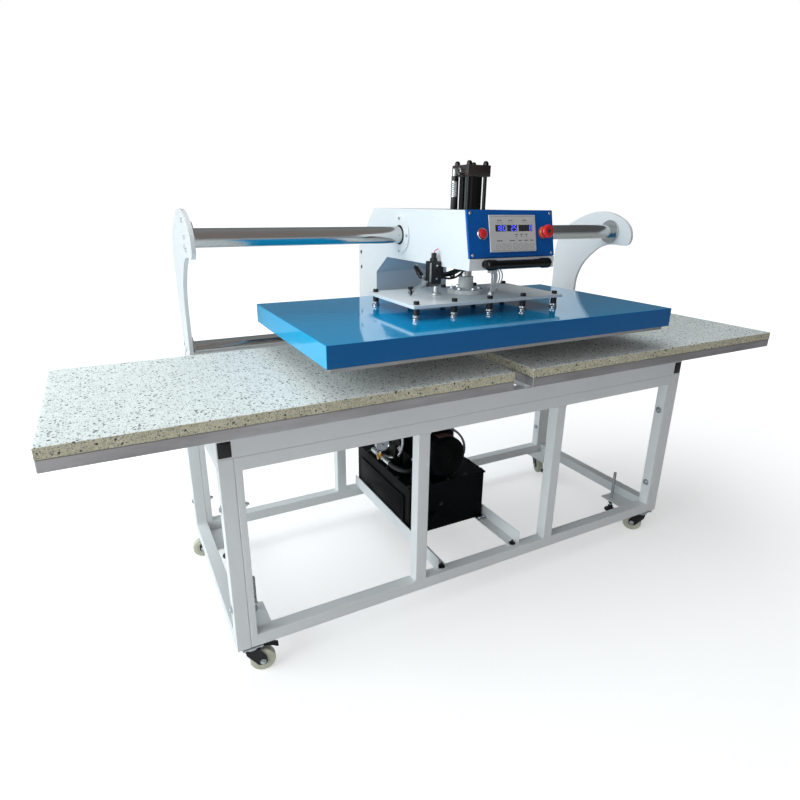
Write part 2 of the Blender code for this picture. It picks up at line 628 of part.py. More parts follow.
# supply hose of the cylinder: elbow out of the head block, crimped ferrule, down into the head
PORT = (0.324, 1.4165)
elbow = lathe("cylinder_hose", [(0, -CYL_X - GAP), (0.008, -CYL_X - GAP), (0.008, -0.062), (0, -0.062)], "X", (0, *PORT), CHROME, 12, origin=(0, 0, 0))
drop = [(0, PORT[1] + 0.008), (0.009, PORT[1] + 0.005), (0.009, 1.397), (0.0105, 1.395), (0.0105, 1.345)]
drop += [(0.0095, 1.343), (0.0095, 1.240), (0, 1.240)]
join(elbow, lathe("drop", drop, "Z", (-0.0625, PORT[0], 0), CHROME, 14))
elbow.data.materials[0] = RUBBER

# ---------------------------------------------------------------- press ram, carrier and heated platen
lathe("press_ram", [(0, 1.0983), (0.018, 1.0983), (0.018, 1.325), (0, 1.325)], "Z", (0, RAM_Y, 0), CHROME, 24)
HUB = [(0, CARRIER_Z[1] + GAP), (0.058, CARRIER_Z[1] + GAP), (0.058, 1.0560), (0.056, 1.0580), (0.026, 1.0580)]
HUB += [(0.0245, 1.0600), (0.0245, 1.095), (0.0225, 1.098), (0, 1.098)]
lathe("ram_hub", HUB, "Z", (0, RAM_Y, 0), CAST, 28)

corner_r = 0.006
x, (y0, y1) = 0.285, (0.1710, 0.4840)
outline = rounded([(-x, y0, corner_r), (x, y0, corner_r), (x, y1, corner_r), (-x, y1, corner_r)], 3)
carrier = prism("carrier_plate", outline, "Z", *CARRIER_Z, WHITE)
BOTTOM, SKIRT, CROWN = PLATEN_Z
y0, y1 = PLATEN_Y
wall = 0.002
cover = weldment(
    "platen_cover",
    [box(-PLATEN_X, PLATEN_X, y0, y1, SKIRT, CROWN)],
    PLATEN_BLUE,
    [box(-PLATEN_X + wall, PLATEN_X - wall, y0 + wall, y1 - wall, SKIRT - 0.01, CROWN - wall)],
)
in_x, in_y = PLATEN_X - 0.007, (y0 + 0.007, y1 - 0.007)
wool = weldment("insulation_board", [box(-in_x, in_x, *in_y, 0.9603, CROWN - wall - GAP)], PAD)
slab = weldment("heating_plate", [box(-0.602, 0.602, y0 + 0.015, y1 - 0.015, BOTTOM, 0.960)], ALU)
STUD = [(0, 0.955), (0.0055, 0.955), (0.0055, CROWN + GAP), (0.0110, CROWN + GAP), (0.0110, 1.0125)]
STUD += [(0.0085, 1.0125)]
STUD += [(0.0085, CARRIER_Z[0] - GAP), (0.0045, CARRIER_Z[0] - GAP), (0.0045, CARRIER_Z[1] + GAP)]
STUD += [(0.0085, CARRIER_Z[1] + GAP), (0.0085, 1.0530), (0, 1.0530)]
for y in STUD_Y:
    for x in STUD_X:
        join(slab, lathe("stud", STUD, "Z", (x, y, 0), ALU, 10))
        drill(carrier, "Z", (x, y, 0), 0.0058, 1.0, 1.1, 8)
        drill(cover, "Z", (x, y, 0), 0.0072, 0.98, 1.01, 8)
        drill(wool, "Z", (x, y, 0), 0.0072, 0.95, 1.01, 8)
GUIDE = [(0, CARRIER_Z[1] + GAP), (0.016, CARRIER_Z[1] + GAP), (0.016, 1.0515), (0.0095, 1.0525), (0.0095, 1.262)]
GUIDE += [(0, 1.262)]
for side, label in ((-1, "left"), (1, "right")):
    lathe(f"guide_rod_{label}", GUIDE, "Z", (side * ROD_X, RAM_Y, 0), CHROME, 20)

# ---------------------------------------------------------------- limit switch with its roller lever
SWITCH_X = (-0.188, -HEAD_X - GAP)
body = prism("limit_switch", rounded([(0.236, 1.092, 0.004), (0.262, 1.080, 0.006), (0.272, 1.090, 0.006), (0.272, 1.158, 0.003), (0.236, 1.158, 0.003)], 3), "X", *SWITCH_X, PLASTIC)
neck = [(0, 1.150), (0.012, 1.150), (0.012, 1.166), (0.008, 1.168), (0.008, 1.182), (0, 1.182)]
join(body, lathe("neck", neck, "Z", (-0.171, 0.254, 0), PLASTIC, 14))
PIVOT = Vector((-0.196, 0.262, 1.096))
arm_dir = Vector((0, 0.084, -0.0425))


def arm(name, a, b, width, x0, x1, mat):
    """Flat bar with round ends between two points in the YZ plane."""
    a, b = Vector(a[1:]), Vector(b[1:])
    lead = math.atan2(b.y - a.y, b.x - a.x)
    outline = []
    for centre, first in ((b, lead - math.pi / 2), (a, lead + math.pi / 2)):
        for k in range(7):
            angle = first + math.pi * k / 6
            outline.append((centre.x + width * math.cos(angle), centre.y + width * math.sin(angle)))
    return prism(name, outline, "X", x0, x1, mat, origin=PIVOT)


ROLLER = PIVOT + arm_dir
lever = arm("switch_lever", PIVOT, ROLLER, 0.0055, -0.1975, -0.1935, ZINC)
counter = PIVOT + Vector((0, 0.052, 0.040))
wheel = [(0, -0.2035), (0.0078, -0.2035), (0.0078, -0.1955), (0, -0.1955)]
hub = [(0, -0.2000), (0.0075, -0.2000), (0.0075, -0.1883), (0, -0.1883)]
join(
    lever,
    arm("counter", PIVOT, counter, 0.0075, -0.2005, -0.1945, ZINC),
    lathe("roller", wheel, "X", (0, *ROLLER[1:]), ZINC, 14, origin=PIVOT),
    lathe("hub", hub, "X", (0, *PIVOT[1:]), ZINC, 12, origin=PIVOT),
)

# ---------------------------------------------------------------- origin under the middle of the machine
for obj in bpy.data.objects:
    obj.location.y -= DEPTH / 2
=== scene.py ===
"""Looks of a double-station shuttle heat press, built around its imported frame."""

import json
import math
import random

import bmesh
import bpy
from mathutils import Matrix, Vector, noise

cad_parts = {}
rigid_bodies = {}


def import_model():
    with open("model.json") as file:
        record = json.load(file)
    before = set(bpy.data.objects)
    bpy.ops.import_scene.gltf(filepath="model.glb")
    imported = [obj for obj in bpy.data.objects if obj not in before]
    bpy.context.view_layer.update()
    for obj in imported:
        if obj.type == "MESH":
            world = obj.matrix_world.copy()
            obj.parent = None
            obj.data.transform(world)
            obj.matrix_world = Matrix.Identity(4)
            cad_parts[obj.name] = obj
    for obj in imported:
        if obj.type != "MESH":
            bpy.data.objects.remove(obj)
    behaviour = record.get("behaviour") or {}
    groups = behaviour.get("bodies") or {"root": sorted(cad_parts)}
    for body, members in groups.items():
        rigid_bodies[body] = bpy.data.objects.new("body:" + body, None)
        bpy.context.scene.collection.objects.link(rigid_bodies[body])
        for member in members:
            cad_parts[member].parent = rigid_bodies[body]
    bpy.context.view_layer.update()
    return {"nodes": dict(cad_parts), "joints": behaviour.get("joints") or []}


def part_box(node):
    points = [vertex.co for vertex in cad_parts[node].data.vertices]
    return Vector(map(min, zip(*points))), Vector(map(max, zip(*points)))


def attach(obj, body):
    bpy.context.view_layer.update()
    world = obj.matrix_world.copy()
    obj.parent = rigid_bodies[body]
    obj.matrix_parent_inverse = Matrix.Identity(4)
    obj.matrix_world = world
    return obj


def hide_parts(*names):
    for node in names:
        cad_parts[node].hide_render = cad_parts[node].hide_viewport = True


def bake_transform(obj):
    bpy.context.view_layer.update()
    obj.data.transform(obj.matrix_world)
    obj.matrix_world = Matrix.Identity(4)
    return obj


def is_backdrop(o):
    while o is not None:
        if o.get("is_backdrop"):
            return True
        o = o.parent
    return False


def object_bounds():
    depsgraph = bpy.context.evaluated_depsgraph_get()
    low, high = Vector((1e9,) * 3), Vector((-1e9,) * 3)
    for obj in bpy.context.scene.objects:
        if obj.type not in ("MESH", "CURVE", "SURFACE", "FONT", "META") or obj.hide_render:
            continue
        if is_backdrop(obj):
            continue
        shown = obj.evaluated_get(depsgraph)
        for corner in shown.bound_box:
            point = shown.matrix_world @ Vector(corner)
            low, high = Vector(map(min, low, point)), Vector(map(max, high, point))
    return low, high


for leftover in list(bpy.data.objects):
    bpy.data.objects.remove(leftover, do_unlink=True)
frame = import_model()


# ================================================================ camera, light and floor
# A wide lens at the height of the head, off the left end of the machine, looking down across both beds.
# The light is a large cool window on the left, a soft ceiling and a weak warm bounce from the front.
def aim(yaw, pitch, roll):
    """Camera turn from a heading clockwise from +Y, a downward pitch and a roll, in degrees."""
    yaw, pitch, roll = (math.radians(a) for a in (yaw, pitch, roll))
    ahead = Vector((math.sin(yaw) * math.cos(pitch), math.cos(yaw) * math.cos(pitch), -math.sin(pitch)))
    right = Vector((math.cos(yaw), -math.sin(yaw), 0.0))
    up = right.cross(ahead)
    right, up = (
        math.cos(roll) * right + math.sin(roll) * up,
        math.cos(roll) * up - math.sin(roll) * right,
    )
    return Matrix((right, up, -ahead)).transposed().to_euler()


lens = bpy.data.cameras.new("camera")
lens.sensor_width = 36.0
lens.lens = 25.0
lens.clip_end = 100.0
camera = bpy.data.objects.new("camera", lens)
camera.location = (-1.068, -1.6385, 1.318)
camera.rotation_euler = aim(28.18, 19.39, 0.67)
bpy.context.collection.objects.link(camera)
bpy.context.scene.camera = camera
bpy.context.scene.view_settings.view_transform = "Standard"

for label, place, toward, size, power, tint in (
    ("window", (-4.2, -0.3, 1.95), (0, 0, 0.9), (4.0, 3.2), 134, (0.9, 0.965, 0.98)),
    ("ceiling", (-1.1, 0.7, 4.4), (-0.3, 0, 0.5), (4.6, 4.0), 94, (0.93, 0.98, 1.0)),
    ("bounce", (2.4, -4.4, 1.6), (0, 0, 0.7), (3.0, 2.5), 4, (1.0, 0.9, 0.84)),
    ("fill", (-2.2, -4.0, 1.1), (0, 0.2, 0.95), (2.5, 1.8), 5, (1.0, 0.93, 0.89)),
):
    light = bpy.data.lights.new(label, "AREA")
    light.shape = "RECTANGLE"
    light.size, light.size_y = size
    light.energy = power
    light.color = tint
    lamp = bpy.data.objects.new(label, light)
    lamp.location = place
    lamp.rotation_euler = (Vector(toward) - Vector(place)).to_track_quat("-Z", "Y").to_euler()
    lamp.visible_glossy = label in ("window", "fill")
    bpy.context.collection.objects.link(lamp)


def wire(tree, kind, feeds=None, **settings):
    """One shader node with its settings and what goes into its sockets."""
    node = tree.nodes.new("ShaderNode" + kind)
    for key, value in settings.items():
        setattr(node, key, value)
    for key, value in (feeds or {}).items():
        if isinstance(value, bpy.types.NodeSocket):
            tree.links.new(value, node.inputs[key])
        else:
            node.inputs[key].default_value = value
    return node


def mixed(tree, share, one, other):
    """Colour between two others, by a share from 0 to 1."""
    return wire(tree, "Mix", {0: share, 6: one, 7: other}, data_type="RGBA").outputs[2]


world = bpy.data.worlds.new("room")
bpy.context.scene.world = world
world.use_nodes = True
tree = world.node_tree
across = wire(tree, "TexCoord").outputs["Generated"]
parts = wire(tree, "SeparateXYZ", {0: across}).outputs
height = parts["Z"]
ramp = wire(tree, "ValToRGB", {0: wire(tree, "MapRange", {0: height, 1: -1.0, 2: 1.0}).outputs[0]})
shades = ramp.color_ramp.elements
shades[0].position, shades[0].color = 0.0, (0.62, 0.62, 0.61, 1)
shades[1].position, shades[1].color = 1.0, (0.56, 0.57, 0.58, 1)
for spot, shade in ((0.46, 0.56), (0.52, 0.3), (0.6, 0.28), (0.72, 0.46), (0.85, 0.46)):
    shades.new(spot).color = (shade * 0.9, shade * 1.02, shade * 1.05, 1)
toward_front = wire(tree, "MapRange", {0: parts["Y"], 1: 0.1, 2: -0.7}).outputs[0]
warm = mixed(tree, toward_front, ramp.outputs[0], (0.5, 0.445, 0.42, 1))
toward_left = wire(tree, "MapRange", {0: parts["X"], 1: -0.35, 2: -0.85}).outputs[0]
lit = mixed(tree, toward_left, warm, (1.25, 1.4, 1.5, 1))
toward_right = wire(tree, "MapRange", {0: parts["X"], 1: 0.45, 2: 0.72}).outputs[0]
dim_side = mixed(tree, toward_right, lit, (0.19, 0.2, 0.21, 1))
seen = wire(tree, "LightPath").outputs["Is Camera Ray"]
sky = mixed(tree, seen, dim_side, (2.0, 2.0, 2.0, 1))
tree.links.new(sky, tree.nodes["Background"].inputs["Color"])
tree.nodes["Background"].inputs["Strength"].default_value = 0.5


def finish(name, tone, rough, metal=0.0, patch=0.15, shift=0.06, grain=0.0015, relief=1e-5, lacquer=0.0,
           stretch=(1, 1, 1), shine=0.5):
    """Surface whose tone and gloss drift in patches, with a fine grain in its relief; sizes in metres."""
    made = bpy.data.materials.new(name)
    made.use_nodes = True
    tree = made.node_tree
    shader = tree.nodes["Principled BSDF"]
    where = wire(tree, "TexCoord").outputs["Object"]
    where = wire(tree, "Mapping", {0: where, "Scale": stretch}).outputs[0]
    drift = wire(tree, "TexNoise", {"Vector": where, "Scale": 1 / patch, "Detail": 5.0, "Roughness": 0.62})
    fine = wire(tree, "TexNoise", {"Vector": where, "Scale": 1 / grain, "Detail": 2.0})
    dark = [c * (1 - shift) for c in tone] + [1]
    light = [min(1, c * (1 + shift)) for c in tone] + [1]
    both = wire(tree, "MapRange", {0: drift.outputs[0], 1: 0.3, 2: 0.7, 3: 0.0, 4: 1.0}).outputs[0]
    colour = mixed(tree, both, dark, light)
    gloss = wire(tree, "MapRange", {0: drift.outputs[0], 1: 0.3, 2: 0.7, 3: rough[1],
        4: rough[0]}).outputs[0]
    bump = wire(tree, "Bump", {"Height": fine.outputs[0], "Distance": relief, "Strength": 1.0})
    tree.links.new(colour, shader.inputs["Base Color"])
    tree.links.new(gloss, shader.inputs["Roughness"])
    tree.links.new(bump.outputs[0], shader.inputs["Normal"])
    shader.inputs["Metallic"].default_value = metal
    shader.inputs["Specular IOR Level"].default_value = shine
    shader.inputs["Coat Weight"].default_value = lacquer
    shader.inputs["Coat Roughness"].default_value = 0.06
    return made


bm = bmesh.new()
bmesh.ops.create_circle(bm, cap_ends=True, segments=96, radius=40.0)
mesh = bpy.data.meshes.new("floor")
bm.to_mesh(mesh)
bm.free()
pale_floor = finish("pale_floor", (0.84, 0.84, 0.84), (0.7, 0.85), patch=1.5, shift=0.01, grain=0.004,
    shine=0.2)
tree = pale_floor.node_tree
away = wire(tree, "VectorMath", {0: wire(tree, "TexCoord").outputs["Object"]},
    operation="LENGTH").outputs["Value"]
lift = wire(tree, "MapRange", {0: away, 1: 1.2, 2: 4.5, 3: 0.44, 4: 0.9}).outputs[0]
seen = wire(tree, "LightPath").outputs["Is Camera Ray"]
lift = wire(tree, "Math", {0: lift, 1: seen}, operation="MULTIPLY").outputs[0]
tree.nodes["Principled BSDF"].inputs["Emission Color"].default_value = (1, 1, 1, 1)
tree.links.new(lift, tree.nodes["Principled BSDF"].inputs["Emission Strength"])
mesh.materials.append(pale_floor)
floor = bpy.data.objects.new("floor", mesh)
bpy.context.collection.objects.link(floor)
floor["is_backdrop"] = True


# ================================================================ welded stand
# Two end frames and two long frames of 40 mm square steel tube, welded, ground flush and powder coated.
# The bed frame of the same tube lies on top, with four bearers that carry the beds.
def carry(made, edge, *names, steps=2):
    """Gives CAD nodes their finish and breaks their sharp edges."""
    for name in names:
        node = frame["nodes"][name]
        mesh = node.data
        if "custom_normal" in mesh.attributes:
            mesh.attributes.remove(mesh.attributes["custom_normal"])
        mesh.materials.clear()
        mesh.materials.append(made)
        node.modifiers.new("Weld", "WELD").merge_threshold = 0.00001
        bevel = node.modifiers.new("Edge", "BEVEL")
        bevel.width = edge
        bevel.segments = steps
        bevel.limit_method = "ANGLE"
        bevel.angle_limit = math.radians(33)


powder_white = finish("powder_white", (0.8, 0.825, 0.835), (0.3, 0.42), patch=0.35, shift=0.025,
    grain=0.0011, relief=1.3e-5, lacquer=0.15)
carry(powder_white, 0.0022, "end_frame_left", "end_frame_right", "long_frame_front", "long_frame_rear",
    "bed_frame")


def piece(name, bm, made, body, angle=30, stands_for=(), slot=None):
    """Closes a mesh into a piece that rides on a body, if any, and may stand for CAD nodes."""
    bmesh.ops.remove_doubles(bm, verts=bm.verts, dist=1e-6)
    bmesh.ops.recalc_face_normals(bm, faces=bm.faces)
    mesh = bpy.data.meshes.new(name)
    bm.to_mesh(mesh)
    bm.free()
    mesh.materials.append(made)
    mesh.shade_smooth()
    mesh.set_sharp_from_angle(angle=math.radians(angle))
    obj = bpy.data.objects.new(name, mesh)
    bpy.context.collection.objects.link(obj)
    if body:
        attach(obj, body)
    if stands_for:
        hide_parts(*stands_for)
    return obj


def run(bm, path, radius, steps=12):
    """Round bar or hose along a line of points; radius may be a list, one for each point."""
    points = [Vector(p) for p in path]
    radii = radius if isinstance(radius, (list, tuple)) else [radius] * len(points)
    normal = None
    rings = []
    for n, here in enumerate(points):
        ahead = (points[min(n + 1, len(points) - 1)] - points[max(n - 1, 0)]).normalized()
        if normal is None:
            normal = ahead.orthogonal().normalized()
        normal = (normal - ahead * normal.dot(ahead)).normalized()
        side = ahead.cross(normal)
        turn = [math.tau * k / steps for k in range(steps)]
        ways = [normal * math.cos(a) + side * math.sin(a) for a in turn]
        rings.append([bm.verts.new(here + radii[n] * way) for way in ways])
    for low, high in zip(rings, rings[1:]):
        for k in range(steps):
            m = (k + 1) % steps
            bm.faces.new((low[k], low[m], high[m], high[k]))
    bm.faces.new(rings[0][::-1])
    bm.faces.new(rings[-1])


draw = random.Random(7)


def seam(bm, start, end, lift, count):
    """Ground weld between two points; every step wanders a little in height and thickness."""
    start, end = Vector(start), Vector(end)
    heights = [Vector((0, 0, lift * (0.6 + 0.4 * draw.random()))) for _ in range(count + 1)]
    line = [start.lerp(end, k / count) + heights[k] for k in range(count + 1)]
    run(bm, line, [0.0021 + 0.0005 * draw.random() for _ in line], 8)


bar, proud = 0.04, 0.0012
reach = bar / 2 + 0.0005
beads = bmesh.new()
rail_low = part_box("long_frame_front")[0].z + bar
rail_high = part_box("long_frame_front")[1].z - bar
for frame_name in ("long_frame_front", "long_frame_rear"):
    near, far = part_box(frame_name)
    for x in (-0.2735, 0.2735):
        for z, lift in ((rail_low, proud), (rail_high, -proud)):
            for y in (near.y + 0.0015, far.y - 0.0015):
                seam(beads, (x - reach, y, z), (x + reach, y, z), lift, 14)
            for side in (x - reach, x + reach):
                seam(beads, (side, near.y + 0.001, z), (side, near.y + 0.039, z), lift, 12)
for label in ("left", "right"):
    near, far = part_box(f"end_frame_{label}")
    leg = far.x - bar / 2 if label == "right" else near.x + bar / 2
    for y in (near.y + bar + 0.0005, far.y - bar - 0.0005):
        for z, lift in ((near.z + bar, proud), (far.z - bar, -proud)):
            seam(beads, (leg - 0.0185, y, z), (leg + 0.0185, y, z), lift, 12)
piece("weld_seams", beads, powder_white, "stand", 60)

# ================================================================ bolts through the legs
# Zinc-plated M8 bolts with plain washers tie each end frame to the long frames: the heads are on the
# outside of the legs and the nuts on the inner faces of the end posts.
zinc = finish("bright_zinc", (0.6, 0.64, 0.67), (0.22, 0.38), metal=1.0, patch=0.006, shift=0.12,
    grain=0.0006, relief=8e-6)


def turned(bm, profile, at, along, steps=32, loop=False):
    """Turned solid from (radius, height) pairs, standing at a point along a direction."""
    turn = Vector((0, 0, 1)).rotation_difference(Vector(along).normalized()).to_matrix()
    rings = []
    for radius, height in profile:
        count = 1 if radius == 0 else steps
        angles = [math.tau * n / steps for n in range(count)]
        spots = [Vector((radius * math.cos(a), radius * math.sin(a), height)) for a in angles]
        rings.append([bm.verts.new(Vector(at) + turn @ p) for p in spots])
    pairs = list(zip(rings, rings[1:])) + ([(rings[-1], rings[0])] if loop else [])
    for low, high in pairs:
        for n in range(steps):
            m = (n + 1) % steps
            face = [low[n % len(low)], low[m % len(low)], high[m % len(high)], high[n % len(high)]]
            face = list(dict.fromkeys(face))
            if len(face) > 2:
                bm.faces.new(face)


def lathe(name, profile, at, along, steps, *rest, loop=False, slot=None):
    """Piece made of one turned solid; the rest is its finish, its body and what else piece() takes."""
    bm = bmesh.new()
    turned(bm, profile, at, along, steps, loop)
    return piece(name, bm, *rest, slot=slot)


def hex_head(bm, at, along, across, tall, washer=True, stud=0.0):
    """Hexagon head or nut on a washer, with an optional stud end standing out of it."""
    base = 0.0
    if washer:
        base = 0.0014
        w = across * 0.98
        turned(bm, [(0, 0), (w * 0.97, 0), (w, 0.0004), (w, base - 0.0004), (w * 0.97, base), (0, base)],
            at, along, 24)
    r = across / math.sqrt(3)
    turned(bm, [(0, base), (r, base), (r, base + tall * 0.84), (r * 0.87, base + tall), (0, base + tall)],
        at, along, 6)
    if stud:
        tip = base + tall + stud
        turned(bm, [(0, base + tall), (across * 0.29, base + tall), (across * 0.29, tip - 0.001),
            (across * 0.23, tip), (0, tip)], at, along, 16)


bolts = bmesh.new()
for side, label in ((-1, "left"), (1, "right")):
    near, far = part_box(f"end_frame_{label}")
    outer = far.x if side > 0 else near.x
    inner = side * (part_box("long_frame_front")[1].x - bar / 2)
    for y in (near.y + bar / 2, far.y - bar / 2):
        for z in (0.24, 0.56):
            hex_head(bolts, (outer, y, z), (side, 0, 0), 0.013, 0.0053)
            hex_head(bolts, (inner, y, z), (-side, 0, 0), 0.013, 0.0065, stud=0.005)
piece("leg_bolts", bolts, zinc, "stand")

# ================================================================ tube plugs
# Black moulded plugs, pushed into the open ends of the bed frame's side tubes. Each has a shallow
# domed face inside a thin rim.
black_plastic = finish("black_moulding", (0.008, 0.008, 0.009), (0.38, 0.55), patch=0.02, shift=0.2,
    grain=0.0005, relief=1.2e-5)
carry(black_plastic, 0.0008, "tube_plug_left", "tube_plug_right")


def slab(bm, low, high, edge=0.0, steps=2):
    """Box between two corners with rounded edges."""
    low, high = Vector(low), Vector(high)
    low, high = Vector(map(min, low, high)), Vector(map(max, low, high))
    size = high - low
    shape = Matrix.Translation((low + high) / 2) @ Matrix.Diagonal((*size, 1))
    corners = bmesh.ops.create_cube(bm, size=1, matrix=shape)["verts"]
    if edge:
        edges = {e for v in corners for e in v.link_edges}
        bmesh.ops.bevel(bm, geom=list(edges), offset=edge, segments=steps, profile=0.5, affect="EDGES",
            clamp_overlap=True)
    return corners


rims = bmesh.new()
for label in ("left", "right"):
    near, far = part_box(f"tube_plug_{label}")
    x, z = (near.x + far.x) / 2, (near.z + far.z) / 2
    slab(rims, (x - 0.013, near.y - 0.0012, z - 0.018), (x + 0.013, near.y + 0.002, z + 0.018), 0.001, 3)
piece("plug_faces", rims, black_plastic, "stand", 38)

# ================================================================ casters
# Light-duty swivel casters with 75 mm cream nylon wheels in pressed black forks, screwed under the leg
# corners. The two at the front have a foot brake.
black_enamel = finish("black_enamel", (0.008, 0.0085, 0.01), (0.22, 0.36), patch=0.04, shift=0.25,
    grain=0.0011, relief=1.4e-5, lacquer=0.15, shine=0.35)
cream_nylon = finish("cream_nylon", (0.6, 0.61, 0.49), (0.36, 0.5), patch=0.015, grain=0.0008)
joint = {j["name"]: j for j in frame["joints"]}
tread = [(0.0054, 0.0145), (0.0125, 0.0145), (0.0135, 0.0128), (0.0205, 0.0128), (0.0215, 0.0137),
    (0.026, 0.0137), (0.027, 0.0128), (0.0335, 0.0128), (0.036, 0.0118), (0.0373, 0.0095), (0.0375, 0.006)]
tread += [(r, -h) for r, h in reversed(tread)]
pedal = [(0.016, 0.0905), (0.04, 0.0895), (0.062, 0.084), (0.074, 0.0775), (0.078, 0.0785)]
for label in ("front_left", "front_right", "rear_left", "rear_right"):
    fork, wheel = f"caster_fork_{label}", f"caster_wheel_{label}"
    carry(black_enamel, 0.0007, fork)
    pivot = Vector(joint[f"caster_swivel_{label}"]["pos_m"])
    hub = Vector(joint[f"caster_roll_{label}"]["pos_m"])
    axle = Vector(joint[f"caster_roll_{label}"]["axis"])
    trail = ((hub - pivot) * Vector((1, 1, 0))).normalized()
    lathe(f"nylon_{wheel}", tread, hub, axle, 72, cream_nylon, wheel, 30, [wheel], loop=True)
    bm = bmesh.new()
    for side in (-1, 1):
        turned(bm, [(0, 0.0192), (0.009, 0.0192), (0.009, 0.0204), (0.006, 0.0208), (0, 0.0208)], hub,
            axle * side, 20)
        hex_head(bm, hub + axle * side * 0.02, axle * side, 0.01, 0.0042, washer=False, stud=0.0012)
    piece(f"axle_nuts_{label}", bm, zinc, fork)
    lathe(f"ball_race_{label}", [(0.012, 0.0), (0.0215, 0.0), (0.0235, 0.003), (0.0235, 0.008),
        (0.0205, 0.0115), (0.012, 0.0115)], (pivot.x, pivot.y, 0.085), (0, 0, 1), 36, zinc, fork, loop=True)
    if label.startswith("front"):
        sideways = Vector((0, 0, 1)).cross(trail)
        bm = bmesh.new()
        rows = []
        for out, z in pedal:
            half = 0.0125 if out < 0.06 else 0.011
            base = Vector((pivot.x, pivot.y, z)) + trail * out
            edges = ((-1, 0), (1, 0), (1, -0.0022), (-1, -0.0022))
            rows.append([bm.verts.new(base + sideways * s * half + Vector((0, 0, t))) for s, t in edges])
        for low, high in zip(rows, rows[1:]):
            for k in range(4):
                bm.faces.new((low[k], low[(k + 1) % 4], high[(k + 1) % 4], high[k]))
        bm.faces.new(rows[0])
        bm.faces.new(rows[-1])
        piece(f"brake_pedal_{label}", bm, black_enamel, fork, 50)
    bm = bmesh.new()
    slab(bm, (pivot.x - 0.03, pivot.y - 0.03, 0.099), (pivot.x + 0.03, pivot.y + 0.03, 0.1024), 0.0008)
    for sx in (-1, 1):
        for sy in (-1, 1):
            hex_head(bm, (pivot.x + sx * 0.0245, pivot.y + sy * 0.0245, 0.099), (0, 0, -1), 0.008, 0.004,
                washer=False)
    piece(f"caster_plate_{label}", bm, zinc, "stand")

# ================================================================ levelling feet
# Zinc M12 studs with a swivel disc, screwed down through the corner plates when the press has been
# rolled into place. A black lock nut sits above each disc.
for fb in ("front", "rear"):
    for lr in ("left", "right"):
        body = f"levelling_foot_{fb}_{lr}"
        near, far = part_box(body)
        x, y = (near.x + far.x) / 2, (near.y + far.y) / 2
        thread = [(0, 0.06), (0.0055, 0.06), (0.0059, 0.076)]
        z = 0.0775
        while z < far.z - 0.002:
            thread += [(0.006, z), (0.0052, z + 0.00075)]
            z += 0.0015
        thread += [(0.005, far.z - 0.0006), (0, far.z)]
        lathe(f"foot_stud_{fb}_{lr}", thread, (x, y, 0), (0, 0, 1), 18, zinc, body, 80, [body])
        bm = bmesh.new()
        disc = [(0, 0.048), (0.0215, 0.048), (0.024, 0.0495), (0.024, 0.0525), (0.0225, 0.054),
            (0.013, 0.056)]
        disc += [(0.0105, 0.06), (0.0105, 0.069), (0.0085, 0.0735), (0, 0.0735)]
        turned(bm, disc, (x, y, 0), (0, 0, 1), 40)
        hex_head(bm, (x, y, 0.0835), (0, 0, 1), 0.019, 0.0095, washer=False)
        piece(f"foot_disc_{fb}_{lr}", bm, black_enamel, body)

# ================================================================ pressing beds
# Each bed is a milled aluminium plate with a thick speckled silicone-sponge pad glued on top. The pad
# is cut by knife, so its edges are a little uneven and show the chips in the sponge.
bed_aluminium = finish("bed_aluminium", (0.47, 0.455, 0.465), (0.36, 0.56), metal=1.0, patch=0.045,
    shift=0.16, grain=0.0012, relief=1.4e-5, stretch=(0.18, 1, 1))
carry(bed_aluminium, 0.0012, "bed_plate_left", "bed_plate_right")
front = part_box("bed_plate_left")[0].y  # the beds' front edge: depths are measured back from it

speckled_pad = bpy.data.materials.new("speckled_pad")
speckled_pad.use_nodes = True
tree = speckled_pad.node_tree
shader = tree.nodes["Principled BSDF"]
where = wire(tree, "TexCoord").outputs["Object"]
wander = wire(tree, "TexNoise", {"Vector": where, "Scale": 160.0, "Detail": 3.0})
drift = wire(tree, "VectorMath", {0: wander.outputs["Color"], 1: (0.5, 0.5, 0.5)},
    operation="SUBTRACT").outputs[0]
drift = wire(tree, "VectorMath", {0: drift, "Scale": 0.006}, operation="SCALE").outputs[0]
uneven = wire(tree, "VectorMath", {0: where, 1: drift}, operation="ADD").outputs[0]
facing = wire(tree, "SeparateXYZ", {0: wire(tree, "NewGeometry").outputs["Normal"]}).outputs["Z"]
topside = wire(tree, "MapRange", {0: facing, 1: 0.3, 2: 0.8}).outputs[0]
tone = wire(tree, "TexNoise", {"Vector": where, "Scale": 22.0, "Detail": 6.0, "Roughness": 0.7}).outputs[0]
tone = wire(tree, "MapRange", {0: tone, 1: 0.35, 2: 0.65}).outputs[0]
fleck = wire(tree, "TexNoise", {"Vector": uneven, "Scale": 330.0, "Detail": 3.0,
    "Roughness": 0.6}).outputs[0]
fleck = wire(tree, "MapRange", {0: fleck, 1: 0.36, 2: 0.6}).outputs[0]
tone = wire(tree, "Math", {0: tone, 1: 0.3}, operation="MULTIPLY").outputs[0]
tone = wire(tree, "Math", {0: fleck, 1: 0.7, 2: tone}, operation="MULTIPLY_ADD").outputs[0]
top_tone = mixed(tree, tone, (0.72, 0.775, 0.755, 1), (0.95, 0.985, 0.965, 1))
cut_tone = mixed(tree, tone, (0.4, 0.37, 0.25, 1), (0.76, 0.72, 0.56, 1))
colour = mixed(tree, topside, cut_tone, top_tone)
